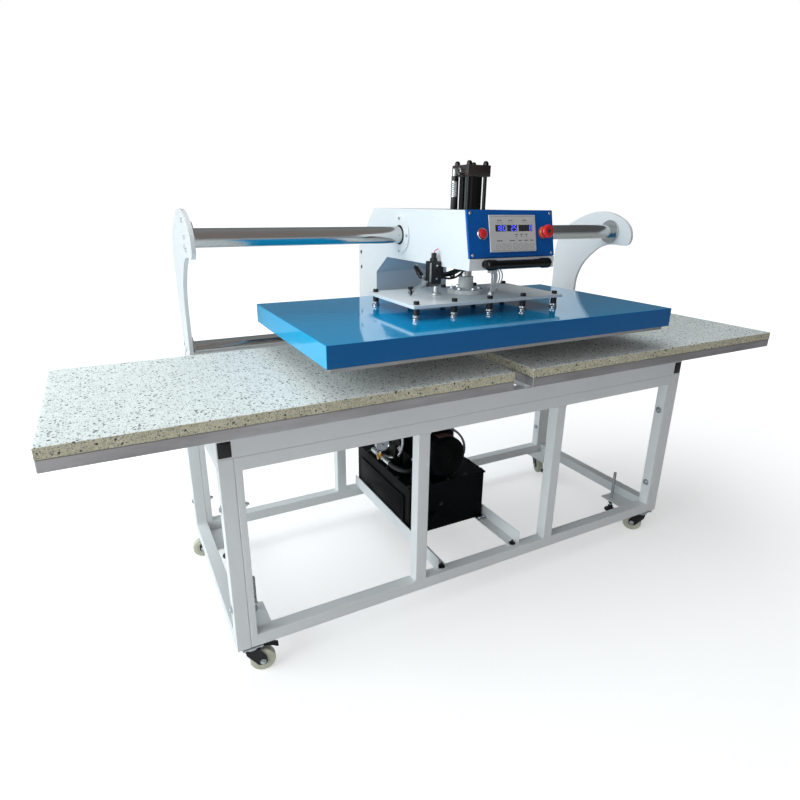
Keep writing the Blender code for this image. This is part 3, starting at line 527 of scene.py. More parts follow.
for scale, low, high, share, chip in (
    (190.0, 0.14, 0.4, 0.55, (0.24, 0.275, 0.27, 1)),
    (300.0, 0.14, 0.38, 0.66, (0.12, 0.135, 0.13, 1)),
    (105.0, 0.11, 0.32, 0.52, (0.04, 0.044, 0.044, 1)),
    (58.0, 0.07, 0.19, 0.6, (0.014, 0.014, 0.014, 1)),
):
    cells = wire(tree, "TexVoronoi", {"Vector": uneven, "Scale": scale})
    lots = wire(tree, "SeparateColor", {0: cells.outputs["Color"]})
    size = wire(tree, "MapRange", {0: lots.outputs[0], 1: share, 2: 1.0, 3: low, 4: high}).outputs[0]
    chosen = wire(tree, "Math", {0: lots.outputs[0], 1: share}, operation="GREATER_THAN").outputs[0]
    outer = wire(tree, "Math", {0: size, 1: 0.06}, operation="ADD").outputs[0]
    inside = wire(tree, "MapRange", {0: cells.outputs["Distance"], 1: size, 2: outer, 3: 0.92,
        4: 0.0}).outputs[0]
    mask = wire(tree, "Math", {0: inside, 1: chosen}, operation="MULTIPLY").outputs[0]
    colour = mixed(tree, mask, colour, chip)
tree.links.new(colour, shader.inputs["Base Color"])
shader.inputs["Roughness"].default_value = 0.62
pores = wire(tree, "TexVoronoi", {"Vector": uneven, "Scale": 420.0}).outputs["Distance"]
bump = wire(tree, "Bump", {"Height": pores, "Distance": 0.00012, "Strength": 0.6})
tree.links.new(bump.outputs[0], shader.inputs["Normal"])


def sponge(low, high, cells, edge):
    """Knife-cut slab: a fine skin whose top is slightly uneven and whose top edge is worn round."""
    bm = bmesh.new()
    counts = [max(2, round((high[k] - low[k]) / cells)) for k in range(2)]
    levels = [low[2], (low[2] + high[2]) / 2, high[2] - edge, high[2] - edge * 0.3, high[2]]
    inset = [0.0, 0.0003, 0.0, edge * 0.3, edge]

    def spot(x, y, z, tuck):
        soft = noise.noise(Vector((x, y, z)) * 24) * 0.0004 + noise.noise(Vector((x, y, z)) * 6) * 0.0004
        x = min(max(x, low[0] + tuck + abs(soft)), high[0] - tuck - abs(soft))
        y = min(max(y, low[1] + tuck + abs(soft)), high[1] - tuck - abs(soft))
        return bm.verts.new((x, y, z - (abs(soft) * 0.7 if z > low[2] + 0.01 else 0)))

    xs = [low[0] + (high[0] - low[0]) * k / counts[0] for k in range(counts[0] + 1)]
    ys = [low[1] + (high[1] - low[1]) * k / counts[1] for k in range(counts[1] + 1)]
    loop = [(x, ys[0]) for x in xs] + [(xs[-1], y) for y in ys[1:]]
    loop += [(x, ys[-1]) for x in xs[-2::-1]] + [(xs[0], y) for y in ys[-2:0:-1]]
    rows = [[spot(x, y, z, tuck) for x, y in loop] for z, tuck in zip(levels, inset)]
    for lower, upper in zip(rows, rows[1:]):
        for k in range(len(loop)):
            m = (k + 1) % len(loop)
            bm.faces.new((lower[k], lower[m], upper[m], upper[k]))
    bm.faces.new(rows[0][::-1])
    rim = dict(zip(loop, rows[-1]))
    grid = {(x, y): rim.get((x, y)) or spot(x, y, high[2], edge) for x in xs for y in ys}
    for x0, x1 in zip(xs, xs[1:]):
        for y0, y1 in zip(ys, ys[1:]):
            bm.faces.new((grid[x0, y0], grid[x1, y0], grid[x1, y1], grid[x0, y1]))
    return bm


for label in ("left", "right"):
    bm = sponge(*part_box(f"bed_pad_{label}"), 0.012, 0.0016)
    pad = piece(f"sponge_{label}", bm, speckled_pad, "stand", 60, [f"bed_pad_{label}"], slot="speckled_pad")

# ================================================================ end brackets
# Thick S-shaped plates cut from steel and coated like the stand. Each is bolted to the bed frame by its
# foot and to the guide tubes by screws round the tube's axis.
carry(powder_white, 0.0016, "end_bracket_left", "end_bracket_right")


def socket_head(bm, at, along, radius):
    """Low cap screw with a socket, sunk a little into the face it clamps."""
    profile = [(0, -0.001), (radius, -0.001), (radius, 0.0022), (radius * 0.88, 0.003),
        (radius * 0.55, 0.003), (radius * 0.5, 0.0006), (0, 0.0006)]
    turned(bm, profile, at, along, 20)


bolts = bmesh.new()
for side, label in ((-1, "left"), (1, "right")):
    near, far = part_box(f"end_bracket_{label}")
    outer = side * 0.842
    low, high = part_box("upper_guide_tube")
    y, z = (low.y + high.y) / 2, (low.z + high.z) / 2
    for dy, dz in ((0.01, 0.048), (-0.004, 0.003), (0.006, -0.024), (-0.022, -0.031)):
        socket_head(bolts, (outer, y + dy, z + dz), (side, 0, 0), 0.0065)
    low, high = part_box("lower_guide_tube")
    y, z = (low.y + high.y) / 2, (low.z + high.z) / 2
    for dy, dz in ((0.034, 0.014), (0.041, -0.026), (-0.004, 0.0)):
        socket_head(bolts, (outer, y + dy, z + dz), (side, 0, 0), 0.0065)
    for y in (front + 0.715, front + 0.775):
        hex_head(bolts, (side * 0.86, y, near.z + 0.0102 - 0.0017), (0, 0, 1), 0.013, 0.0053)
piece("bracket_bolts", bolts, zinc, "stand")

# ================================================================ guide tubes
# Hard-chromed round tubes, ground and polished, with a collar shrunk on each end that butts against the
# bracket. The head's bearings run on them.
chrome = finish("hard_chrome", (0.6, 0.6, 0.595), (0.13, 0.2), metal=1.0, patch=0.05, shift=0.05,
    grain=0.0009, relief=1.5e-6, stretch=(0.3, 1, 1))
for tube, radius in (("upper_guide_tube", 0.027), ("lower_guide_tube", 0.025)):
    low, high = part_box(tube)
    y, z = (low.y + high.y) / 2, (low.z + high.z) / 2
    collar = (high.z - low.z) / 2
    half = [(0, 0), (collar - 0.001, 0), (collar, 0.001), (collar, 0.009), (collar - 0.001, 0.01),
        (radius + 0.0006, 0.01), (radius, 0.0106)]
    length = high.x - low.x
    lathe(f"chromed_{tube}", half + [(r, length - h) for r, h in reversed(half)], (low.x, y, z), (1, 0, 0),
        96, chrome, "stand", 25, [tube])

# ================================================================ pump rails and oil tank
# Two angle irons lie across the stand's lower rails, bolted down at the front. They carry a folded and
# welded black oil tank with a screwed-down lid.
carry(powder_white, 0.0009, "pump_rail_left", "pump_rail_right")
tank_black = finish("tank_black", (0.0022, 0.0026, 0.0034), (0.34, 0.5), patch=0.16, shift=0.3,
    grain=0.0013, relief=1.6e-5, shine=0.06)
carry(tank_black, 0.0014, "oil_tank")
rail_top = 0.1493
thread_end = [(0, 0.006), (0.0039, 0.006), (0.0039, 0.014), (0, 0.014)]
bm = bmesh.new()
for x in (-0.178, 0.127):
    for y in (front + 0.132, front + 0.8):
        hex_head(bm, (x, y, rail_top), (0, 0, 1), 0.013, 0.0055)
        turned(bm, thread_end, (x, y, rail_top), (0, 0, 1), 14)
piece("rail_bolts", bm, black_enamel, "stand")
low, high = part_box("oil_tank")
bm = bmesh.new()
slab(bm, (low.x - 0.0002, low.y + 0.045, low.z + 0.022), (low.x + 0.0026, high.y - 0.045, low.z + 0.15),
    0.0006)
slab(bm, (high.x - 0.03, low.y - 0.016, low.z + 0.0005), (high.x + 0.006, low.y + 0.008, low.z + 0.0045),
    0.0008)
slab(bm, (low.x - 0.002, low.y - 0.016, low.z + 0.0005), (low.x + 0.03, low.y + 0.008, low.z + 0.0045),
    0.0008)
turned(bm, [(0, 0), (0.017, 0), (0.017, 0.008), (0.013, 0.01), (0.013, 0.014), (0, 0.014)],
    (low.x + 0.105, low.y + 0.004, low.z + 0.06), (0, -1, 0), 28)
turned(bm, [(0, 0), (0.021, 0), (0.021, 0.018), (0.018, 0.022), (0, 0.022)],
    (low.x + 0.06, low.y + 0.06, high.z - 0.0002), (0, 0, 1), 36)
piece("tank_fittings", bm, tank_black, "stand")
bm = bmesh.new()
for k in range(6):
    for x in (low.x + 0.008, high.x - 0.008):
        hex_head(bm, (x, low.y + 0.02 + k * 0.086, high.z - 0.0002), (0, 0, 1), 0.008, 0.0042)
for k in range(1, 4):
    for y in (low.y + 0.009, high.y - 0.009):
        hex_head(bm, (low.x + 0.008 + k * 0.08, y, high.z - 0.0002), (0, 0, 1), 0.008, 0.0042)
for x in (low.x + 0.07, low.x + 0.14):
    hex_head(bm, (x, low.y + 0.004, low.z + 0.105), (0, -1, 0), 0.008, 0.0042)
piece("lid_screws", bm, black_enamel, "stand")
bm = bmesh.new()
for x, y in ((high.x - 0.004, low.y - 0.008), (high.x - 0.022, low.y - 0.01),
        (low.x + 0.012, low.y - 0.008)):
    hex_head(bm, (x, y, low.z + 0.0043), (0, 0, 1), 0.01, 0.0045)
piece("tank_foot_bolts", bm, zinc, "stand")

# ================================================================ pump motor
# A foot-mounted electric motor lies on the lid with its fan cowl to the front: ribbed body, slotted
# cowl, terminal box on top, and the pump's bell housing behind.
low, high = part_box("pump_motor")
axis_x, axis_z = -0.024, 0.431
bm = bmesh.new()
cowl = [(0, 0.002), (0.016, 0.0), (0.06, 0.0), (0.072, 0.003), (0.0785, 0.01), (0.08, 0.016), (0.08, 0.064),
    (0.0775, 0.066)]
cowl += [(0.07, 0.066), (0.07, 0.212), (0.078, 0.214), (0.08, 0.217), (0.08, 0.236), (0.066, 0.243),
    (0.04, 0.262), (0, 0.262)]
turned(bm, cowl, (axis_x, low.y, axis_z), (0, 1, 0), 72)
for k in range(48):
    a = math.tau * (k + 0.5) / 48
    out = Vector((math.cos(a), 0, math.sin(a)))
    thin = Vector((-math.sin(a), 0, math.cos(a))) * 0.0011
    ring = []
    for y in (low.y + 0.068, low.y + 0.2115):
        base = Vector((axis_x, y, axis_z))
        ring.append([bm.verts.new(base + out * r + thin * s) for r,
            s in ((0.069, 1), (0.0782, 0.7), (0.0782, -0.7), (0.069, -1))])
    for j in range(4):
        bm.faces.new((ring[0][j], ring[0][(j + 1) % 4], ring[1][(j + 1) % 4], ring[1][j]))
    bm.faces.new(ring[0])
    bm.faces.new(ring[1])
for k in range(24):
    a = math.tau * k / 24
    out = Vector((math.cos(a), 0, math.sin(a)))
    run(bm, [Vector((axis_x, low.y + 0.0012, axis_z)) + out * r for r in (0.022, 0.03, 0.05, 0.06)],
        [0.0012, 0.002, 0.0024, 0.0014], 8)
turned(bm, [(0, -0.0026), (0.009, -0.0026), (0.012, 0), (0, 0)], (axis_x, low.y, axis_z), (0, 1, 0), 24)
slab(bm, (axis_x - 0.056, low.y + 0.059, 0.478), (axis_x + 0.06, low.y + 0.175, 0.554), 0.004, 3)
slab(bm, (axis_x - 0.058, low.y + 0.057, 0.554), (axis_x + 0.062, low.y + 0.177, 0.564), 0.003, 3)
slab(bm, (axis_x - 0.056, low.y + 0.086, low.z), (axis_x + 0.056, low.y + 0.188, low.z + 0.012), 0.002)
slab(bm, (axis_x - 0.04, low.y + 0.092, low.z + 0.01), (axis_x + 0.04, low.y + 0.182, 0.38), 0.002)
piece("motor", bm, tank_black, "stand", 30, ["pump_motor"])
slots = bmesh.new()
for k in range(24):
    a = math.tau * (k + 0.5) / 24
    out = Vector((math.cos(a), 0, math.sin(a)))
    run(slots, [Vector((axis_x, low.y - 0.0001, axis_z)) + out * r for r in (0.024, 0.04, 0.058)],
        [0.001, 0.0016, 0.002], 6)
matt_black = finish("matt_black", (0.003, 0.003, 0.003), (0.75, 0.95), patch=0.02, shift=0.2, grain=0.001,
    shine=0.1)
piece("cowl_slots", slots, matt_black, "stand", 38)
plate_red = finish("plate_brown", (0.115, 0.05, 0.042), (0.32, 0.5), patch=0.01, shift=0.25, grain=0.0006,
    relief=6e-6, lacquer=0.2)
bm = bmesh.new()
slab(bm, (axis_x - 0.03, low.y + 0.02, 0.5108), (axis_x + 0.03, low.y + 0.054, 0.5122), 0.0004)
piece("rating_plate", bm, plate_red, "stand", 38)
bm = bmesh.new()
for sx in (-1, 1):
    for y in (low.y + 0.066, low.y + 0.168):
        hex_head(bm, (axis_x + 0.002 + sx * 0.053, y, 0.5612), (0, 0, 1), 0.007, 0.0028, washer=False)
    for y in (low.y + 0.096, low.y + 0.178):
        hex_head(bm, (axis_x + sx * 0.049, y, low.z + 0.0118), (0, 0, 1), 0.01, 0.005)
piece("motor_screws", bm, zinc, "stand")

# ================================================================ pressure line, gauge and hoses
# Oil leaves the pump through a black hose to crimped ferrules and a brass tee along the tank's edge. A
# glycerine gauge stands on the tee, and a braided hose loops up from it.
brass = finish("brass", (0.64, 0.42, 0.17), (0.22, 0.38), metal=1.0, patch=0.008, shift=0.12, grain=0.0005,
    relief=8e-6)
steel = finish("machined_steel", (0.66, 0.68, 0.69), (0.2, 0.34), metal=1.0, patch=0.01, shift=0.08,
    grain=0.0006, relief=6e-6)
rubber = finish("hose_rubber", (0.016, 0.017, 0.018), (0.42, 0.6), patch=0.012, shift=0.2, grain=0.0007,
    relief=2.5e-5)
line_x, line_z = -0.178, 0.367
bm = bmesh.new()
turned(bm, [(0, 0), (0.0075, 0), (0.011, 0.002), (0.011, 0.036), (0.0075, 0.038), (0, 0.038)],
    (line_x, front + 0.583, line_z), (0, 1, 0), 6)
turned(bm, [(0, 0), (0.0085, 0), (0.01, 0.002), (0.01, 0.012), (0.0075, 0.015), (0, 0.015)],
    (line_x, front + 0.601, line_z + 0.006), (0, 0, 1), 6)
turned(bm, [(0, 0), (0.0095, 0), (0.0105, 0.002), (0.0105, 0.014), (0, 0.014)],
    (line_x - 0.001, front + 0.601, line_z), (-1, 0, 0), 6)
piece("brass_tee", bm, brass, "stand", 30, ["pressure_line"])
bm = bmesh.new()
for start, way in ((0.583, -1), (0.62, 1)):
    half = [(0, 0), (0.0098, 0.0), (0.0098, 0.01), (0.007, 0.011), (0.007, 0.016), (0.0092, 0.018)]
    for k in range(7):
        half += [(0.0092, 0.019 + k * 0.0055), (0.0098, 0.0205 + k * 0.0055), (0.0098, 0.0228 + k * 0.0055),
            (0.009, 0.0238 + k * 0.0055)]
    half += [(0.008, 0.0595), (0, 0.0595)]
    turned(bm, half, (line_x, front + start, line_z), (0, way, 0), 24)
piece("crimped_ferrules", bm, steel, "stand")


def bend(a, b, c, d, count=20):
    """Points along a smooth bend from a to d, leaving towards b and arriving from c."""
    a, b, c, d = (Vector(p) for p in (a, b, c, d))
    out = []
    for n in range(count + 1):
        t = n / count
        out.append((1 - t) ** 3 * a + 3 * t * (1 - t) ** 2 * b + 3 * t * t * (1 - t) * c + t**3 * d)
    return out


def hose(name, path, radius, steps, *rest, slot=None):
    """Piece made of one round hose or wire along its path."""
    bm = bmesh.new()
    run(bm, path, radius, steps)
    return piece(name, bm, *rest, slot=slot)


bm = bmesh.new()
path = bend((line_x, front + 0.5247, line_z), (line_x, front + 0.43, line_z - 0.001),
    (-0.14, front + 0.43, 0.3635), (-0.0835, front + 0.447, 0.3635), 28)
run(bm, path, 0.009, 18)
piece("pump_hose_cover", bm, rubber, "stand", 60, ["pump_hose"])

gauge = Vector((line_x, front + 0.585, 0.424))
bm = bmesh.new()
turned(bm, [(0, 0.024), (0.022, 0.024), (0.0265, 0.021), (0.028, 0.017), (0.028, 0.004), (0.029, 0.003),
    (0.029, -0.001), (0.0265, -0.002), (0.0245, 0.0005), (0, 0.0005)], gauge, (0, 1, 0), 48)
turned(bm, [(0, 0), (0.0062, 0), (0.0062, 0.008), (0.0085, 0.009), (0.0085, 0.019), (0.0062, 0.02),
    (0.0062, 0.026), (0, 0.026)], (gauge.x, gauge.y + 0.013, 0.376), (0, 0, 1), 6)
piece("gauge_case", bm, chrome, "stand", 30, ["pressure_gauge"])
dial_white = finish("dial_white", (0.72, 0.78, 0.86), (0.25, 0.35), patch=0.02, shift=0.02, grain=0.0008,
    relief=3e-6, lacquer=0.6)
ink_black = finish("ink_black", (0.02, 0.02, 0.025), (0.5, 0.6), patch=0.01, shift=0.1, grain=0.0006,
    relief=2e-6)
lathe("gauge_dial", [(0, 0), (0.0243, 0), (0.0243, 0.0006), (0, 0.0006)], gauge + Vector((0, 0.0001, 0)),
    (0, -1, 0), 40, dial_white, "stand", 38)
bm = bmesh.new()
for k in range(13):
    a = math.radians(-45 + 22.5 * k)
    out = Vector((math.cos(a), 0, math.sin(a)))
    base = gauge - Vector((0, 0.0006, 0))
    run(bm, [base + out * 0.0185, base + out * 0.0218], 0.0005, 6)
run(bm, [gauge + Vector((0.004, -0.0012, -0.004)), gauge + Vector((-0.012, -0.0012, 0.011))],
    [0.0008, 0.0003], 6)
turned(bm, [(0, 0), (0.0022, 0), (0.0022, 0.0016), (0, 0.0016)], gauge - Vector((0, 0.0004, 0)), (0, -1, 0),
    16)
piece("gauge_marks", bm, ink_black, "stand", 38)

# steel-braided return hose looping up from the tee to the valve block
braid = finish("steel_braid", (0.6, 0.61, 0.6), (0.28, 0.42), metal=0.85, patch=0.006, shift=0.2,
    grain=0.0009, relief=5e-5)
carry(black_enamel, 0.0015, "valve_block")
loop = bend((-0.166, front + 0.601, 0.367), (-0.14, front + 0.56, 0.362), (-0.122, front + 0.54, 0.372),
    (-0.116, front + 0.535, 0.43), 22)
loop += bend(loop[-1], (-0.112, front + 0.532, 0.476), (-0.125, front + 0.56, 0.49),
    (-0.127, front + 0.592, 0.44), 16)[1:]
hose("braided_hose", loop, 0.0066, 16, braid, "stand", 60)
bm = bmesh.new()
turned(bm, [(0, 0), (0.0085, 0), (0.0085, 0.012), (0, 0.012)], (-0.127, front + 0.595, 0.4318), (0, 0, 1),
    6)
turned(bm, [(0, 0), (0.008, 0), (0.008, 0.01), (0, 0.01)], (line_x + 0.008, front + 0.601, line_z),
    (1, -0.2, 0), 6)
hex_head(bm, (-0.122, front + 0.5455, 0.414), (0, -1, 0), 0.012, 0.006)
turned(bm, [(0, 0), (0.008, 0), (0.008, 0.016), (0.005, 0.018), (0, 0.018)],
    (axis_x - 0.079, low.y + 0.03, 0.434), (-1, 0, 0), 6)
piece("pump_fittings", bm, steel, "stand")
conduit_grey = finish("conduit_grey", (0.11, 0.115, 0.12), (0.42, 0.55), patch=0.02, shift=0.12,
    grain=0.0008, relief=2e-5)
path = bend((axis_x - 0.01, low.y + 0.058, 0.54), (axis_x + 0.01, low.y + 0.01, 0.56),
    (axis_x + 0.092, low.y + 0.012, 0.505), (axis_x + 0.086, low.y + 0.024, 0.425), 30)
hose("motor_cable", path, [0.0042 + 0.0006 * (k % 2) for k in range(31)], 12, conduit_grey, "stand", 60)

# ================================================================ head housing
# Two C-shaped steel side plates joined by a base, folded covers over the top and back, and a throat
# cover inside the C. All of it is powder coated white and screwed together.
carry(powder_white, 0.0011, "head_side_plate_left", "head_side_plate_right", "head_base", "throat_cover")
carry(powder_white, 0.0008, "head_cover")
screws, hole_shade_discs = bmesh.new(), bmesh.new()
for side in (-1, 1):
    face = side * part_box("head_side_plate_right")[1].x
    for y, z in ((0.822, 1.143), (0.82, 1.087)):
        turned(screws, [(0.0072, -0.001), (0.0096, -0.001), (0.0096, 0.0006), (0.0088, 0.0012),
            (0.0072, 0.0012)], (face, front + y, z), (side, 0, 0), 28, loop=True)
        # A flat matt black disc in each ring stands for the hole: its dark is painted shade, not depth.
        turned(hole_shade_discs, [(0, -0.001), (0.0073, -0.001), (0.0073, 0.0006), (0, 0.0006)], (face, front + y, z),
            (side, 0, 0), 24)
    for y, z in ((0.655, 1.286), (0.3, 1.286), (0.4, 1.16), (0.16, 1.16), (0.835, 0.96), (0.7, 0.96),
            (0.835, 0.83)):
        turned(screws, [(0, -0.001), (0.0042, -0.001), (0.0042, 0.0006), (0.003, 0.0012), (0, 0.0013)],
            (face, front + y, z), (side, 0, 0), 20)
piece("plate_screws", screws, powder_white, "head")
piece("painted_hole_shade", hole_shade_discs, matt_black, "head", slot="black_plastic")

# ================================================================ guide bearings
# Flanged linear bushings in both side plates, screwed on from outside. The flanges are coated with the
# plate, and a dark wiper seal closes the gap to the chromed tube.
flanges, wipers, bolts = bmesh.new(), bmesh.new(), bmesh.new()
for bearing, tube, tube_r in (("upper_bearing", "upper_guide_tube", 0.027),
        ("lower_bearing", "lower_guide_tube", 0.025)):
    low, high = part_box(bearing)
    y, z = (low.y + high.y) / 2, (low.z + high.z) / 2
    rim = (high.z - low.z) / 2
    for side in (-1, 1):
        out = high.x
        turned(flanges, [(tube_r + 0.0046, -0.02), (rim - 0.001, -0.0052), (rim, -0.0046), (rim, -0.001),
            (rim - 0.001, 0), (tube_r + 0.0046, 0)], (side * out, y, z), (side, 0, 0), 72, loop=True)
        turned(wipers, [(tube_r + 0.0005, -0.01), (tube_r + 0.0045, -0.01), (tube_r + 0.0045, 0.001),
            (tube_r + 0.0005, 0.0004)], (side * out, y, z), (side, 0, 0), 72, loop=True)
        for k in range(4):
            a = math.radians(45 + 90 * k) if bearing == "lower_bearing" else math.radians(90 * k)
            reach = rim - 0.0085
            at = (side * out, y - reach * math.cos(a), z + reach * math.sin(a))
            turned(bolts, [(0, -0.001), (0.0046, -0.001), (0.0046, 0.0022), (0.004, 0.0028),
                (0.0024, 0.0028), (0.0024, 0.0008), (0, 0.0008)], at, (side, 0, 0), 20)
piece("bearing_flanges", flanges, powder_white, "head", 30, ["upper_bearing", "lower_bearing"])
piece("wiper_seals", wipers, rubber, "head")
piece("bearing_screws", bolts, zinc, "head")

# ================================================================ control panel
# A sloped steel panel in blue gloss paint closes the front of the head. Four raised screws hold it, and
# its left and right edges are folded back.
panel_foot = Vector((0, front + 0.0915, 1.1785))
panel_head = Vector((0, front + 0.119, 1.307))
slope = (panel_head - panel_foot).normalized()
outward = Vector((0, -slope.z, slope.y))
panel_turn = Matrix((Vector((1, 0, 0)), slope, outward)).transposed().to_4x4()
to_panel = Matrix.Translation(panel_foot) @ panel_turn


def spot_on_panel(x, up, out=0.0):
    return to_panel @ Vector((x, up, out))


panel_blue = finish("panel_blue", (0.003, 0.105, 0.42), (0.22, 0.32), patch=0.08, shift=0.1, grain=0.0012,
    relief=9e-6, lacquer=0.1, shine=0.15)
carry(panel_blue, 0.0009, "control_panel")
bm = bmesh.new()
for x in (-0.143, 0.143):
    for up in (0.008, 0.1225):
        at = spot_on_panel(x, up)
        turned(bm, [(0, -0.001), (0.0046, -0.001), (0.0046, 0.0008), (0.0034, 0.0022), (0, 0.0026)], at,
            outward, 24)
piece("panel_screws", bm, steel, "head")

# ================================================================ temperature controller
# A silver fascia with a raised rim, three dark display windows with blue digits, three pilot lamps and a
# row of seven round membrane keys. Short plain bars stand where a maker would print its labels.
silver = finish("silver_fascia", (0.76, 0.765, 0.77), (0.34, 0.44), metal=0.35, patch=0.03, shift=0.03,
    grain=0.0005, relief=4e-6)
carry(silver, 0.0009, "controller")
window_black = finish("window_black", (0.012, 0.012, 0.014), (0.08, 0.14), patch=0.03, shift=0.15,
    grain=0.002, relief=1e-6, lacquer=0.8)
print_grey = finish("print_grey", (0.16, 0.16, 0.165), (0.45, 0.55), patch=0.01, shift=0.1, grain=0.0005,
    relief=2e-6)
lit_blue = bpy.data.materials.new("lit_blue")
lit_blue.use_nodes = True
tree = lit_blue.node_tree
shader = tree.nodes["Principled BSDF"]
flicker = wire(tree, "TexNoise", {"Vector": wire(tree, "TexCoord").outputs["Object"], "Scale": 300.0})
glow = mixed(tree, flicker.outputs[0], (0.02, 0.03, 1.0, 1), (0.16, 0.2, 1.0, 1))
tree.links.new(glow, shader.inputs["Emission Color"])
tree.links.new(glow, shader.inputs["Base Color"])
shader.inputs["Emission Strength"].default_value = 1.6
fascia = 0.004
print_depth = (fascia - 0.0003, fascia + 0.00012)
fine_print = (fascia - 0.0003, fascia + 0.0001)
windows, lit, dim, marks = bmesh.new(), bmesh.new(), bmesh.new(), bmesh.new()


def flat_bar(bm, x0, x1, up0, up1, out0, out1):
    """Thin raised bar on the panel."""
    made = slab(bm, (x0, up0, out0), (x1, up1, out1))
    bmesh.ops.transform(bm, matrix=to_panel, verts=made)


SEGMENTS = {" ": "", "0": "abcdef", "1": "bc", "2": "abged", "3": "abgcd", "5": "afgcd", "8": "abcdefg"}
for x0, x1, text in ((-0.0625, -0.025, "180"), (-0.022, 0.015, " 25"), (0.02, 0.07, "   8")):
    flat_bar(windows, x0, x1, 0.071, 0.089, fascia - 0.0006, fascia + 0.0003)
    pitch = (x1 - x0) / len(text)
    for n, digit in enumerate(text):
        mid = x0 + pitch * (n + 0.5)
        w, t = 0.0036, 0.00085
        strokes = {
            "a": (-w, w, 0.0866, 0), "g": (-w, w, 0.08, 0), "d": (-w, w, 0.0734, 0),
            "f": (-w, 0, 0.0833, 1), "b": (w, 0, 0.0833, 1), "e": (-w, 0, 0.0767, 1),
            "c": (w, 0, 0.0767, 1),
        }
        for key, (a, b, up, upright) in strokes.items():
            on = key in SEGMENTS[digit]
            target, rise = (lit, 0.00055) if on else (dim, 0.0004)
            if upright:
                flat_bar(target, mid + a - t, mid + a + t, up - 0.0026, up + 0.0026, fascia + 0.0002,
                    fascia + rise)
            else:
                flat_bar(target, mid + a + t, mid + b - t, up - t, up + t, fascia + 0.0002, fascia + rise)
for mid, half in ((-0.047, 0.007), (-0.008, 0.007), (0.043, 0.007)):
    flat_bar(marks, mid - half, mid - 0.001, 0.1, 0.103, *print_depth)
    flat_bar(marks, mid + 0.001, mid + half, 0.1, 0.103, *print_depth)
    flat_bar(marks, mid - half - 0.004, mid + half + 0.004, 0.0945, 0.0951, *fine_print)
for x in (0.011, 0.029, 0.047):
    flat_bar(marks, x - 0.005, x + 0.005, 0.061, 0.0633, *print_depth)
for x0, x1 in ((-0.06, -0.04), (-0.015, 0.004), (0.018, 0.03), (0.038, 0.052), (0.06, 0.072)):
    flat_bar(marks, x0, x1, 0.044, 0.0466, *print_depth)
for n, x in enumerate((-0.056, -0.036, -0.017, 0.006, 0.025, 0.046, 0.067)):
    at = spot_on_panel(x, 0.03, fascia)
    turned(marks, [(0.0068, -0.0003), (0.0075, -0.0003), (0.0075, 0.00015), (0.0068, 0.00015)], at, outward,
        32, loop=True)
    turned(marks, [(0, -0.0003), (0.0014, -0.0003), (0.0014, 0.00015), (0, 0.00015)], at, outward,
        3 + n % 3)
for up in (0.018, 0.1124):
    flat_bar(marks, -0.0785, 0.0785, up, up + 0.0006, *fine_print)
piece("display_windows", windows, window_black, "head", 38)
piece("lit_digits", lit, lit_blue, "head", 38, slot="silver_fascia")
dim_grey = finish("unlit_segments", (0.05, 0.05, 0.055), (0.3, 0.4), patch=0.01, shift=0.1, grain=0.0005,
    relief=1e-6)
piece("unlit_digits", dim, dim_grey, "head", 38)
piece("fascia_marks", marks, print_grey, "head", 38)
bm = bmesh.new()
for x in (0.011, 0.029, 0.047):
    turned(bm, [(0, -0.0005), (0.0017, -0.0005), (0.0017, 0.0004), (0.001, 0.0011), (0, 0.0013)],
        spot_on_panel(x, 0.0565, fascia), outward, 18)
piece("pilot_lamps", bm, dim_grey, "head", 50)

# ================================================================ start button
# A flush red push button with a clear lens. Its body goes through the panel and a chromed bezel nut holds
# it from the front.
signal_red = finish("signal_red", (0.7, 0.012, 0.02), (0.14, 0.24), patch=0.01, shift=0.1, grain=0.0006,
    relief=3e-6, lacquer=0.6)
at = spot_on_panel(-0.107, 0.066)
bm = bmesh.new()
lens_cap = [(0, 0.0032), (0.0127, 0.0032), (0.0127, 0.006), (0.0121, 0.0072), (0.01, 0.008),
    (0.0055, 0.0084), (0, 0.0085)]
turned(bm, lens_cap, at, outward, 48)
piece("start_lens", bm, signal_red, "start_button", 45, ["start_button"])
bm = bmesh.new()
bezel = [(0.0131, 0.0004), (0.0178, 0.0004), (0.0178, 0.0016), (0.0168, 0.0038), (0.0156, 0.0048),
    (0.0136, 0.0045), (0.0131, 0.004)]
turned(bm, bezel, at, outward, 64, loop=True)
piece("start_bezel", bm, chrome, "head", 40)

# ================================================================ emergency stop
# A red mushroom head on a collar, pressed to stop and twisted to release. A dark release mark sits in
# the middle of its dished face.
at = spot_on_panel(0.114, 0.067)
bm = bmesh.new()
knob = [(0, 0.005), (0.0084, 0.005), (0.0084, 0.0151), (0.014, 0.0151), (0.0168, 0.0156), (0.0188, 0.0171),
    (0.0195, 0.0196), (0.0195, 0.0224)]
knob += [(0.0186, 0.0253), (0.0164, 0.0275), (0.0138, 0.0286), (0.01, 0.0287), (0.007, 0.0281), (0, 0.0281)]
turned(bm, knob, at, outward, 64)
piece("stop_mushroom", bm, signal_red, "emergency_stop", 40, ["emergency_stop"])
bm = bmesh.new()
turned(bm, [(0, 0.0279), (0.0062, 0.0279), (0.0062, 0.0285), (0, 0.0285)], at, outward, 40)
dark_green = finish("release_mark", (0.015, 0.05, 0.035), (0.35, 0.5), patch=0.01, shift=0.1, grain=0.0005,
    relief=2e-6)
piece("release_mark", bm, dark_green, "emergency_stop", 38)
bm = bmesh.new()
turned(bm, [(0.015, 0.0004), (0.018, 0.0004), (0.018, 0.003), (0.017, 0.009), (0.015, 0.0108)], at, outward,
    56, loop=True)
turned(bm, [(0.0091, 0.0103), (0.0151, 0.0103), (0.0151, 0.0108), (0.0091, 0.0108)], at, outward, 56,
    loop=True)
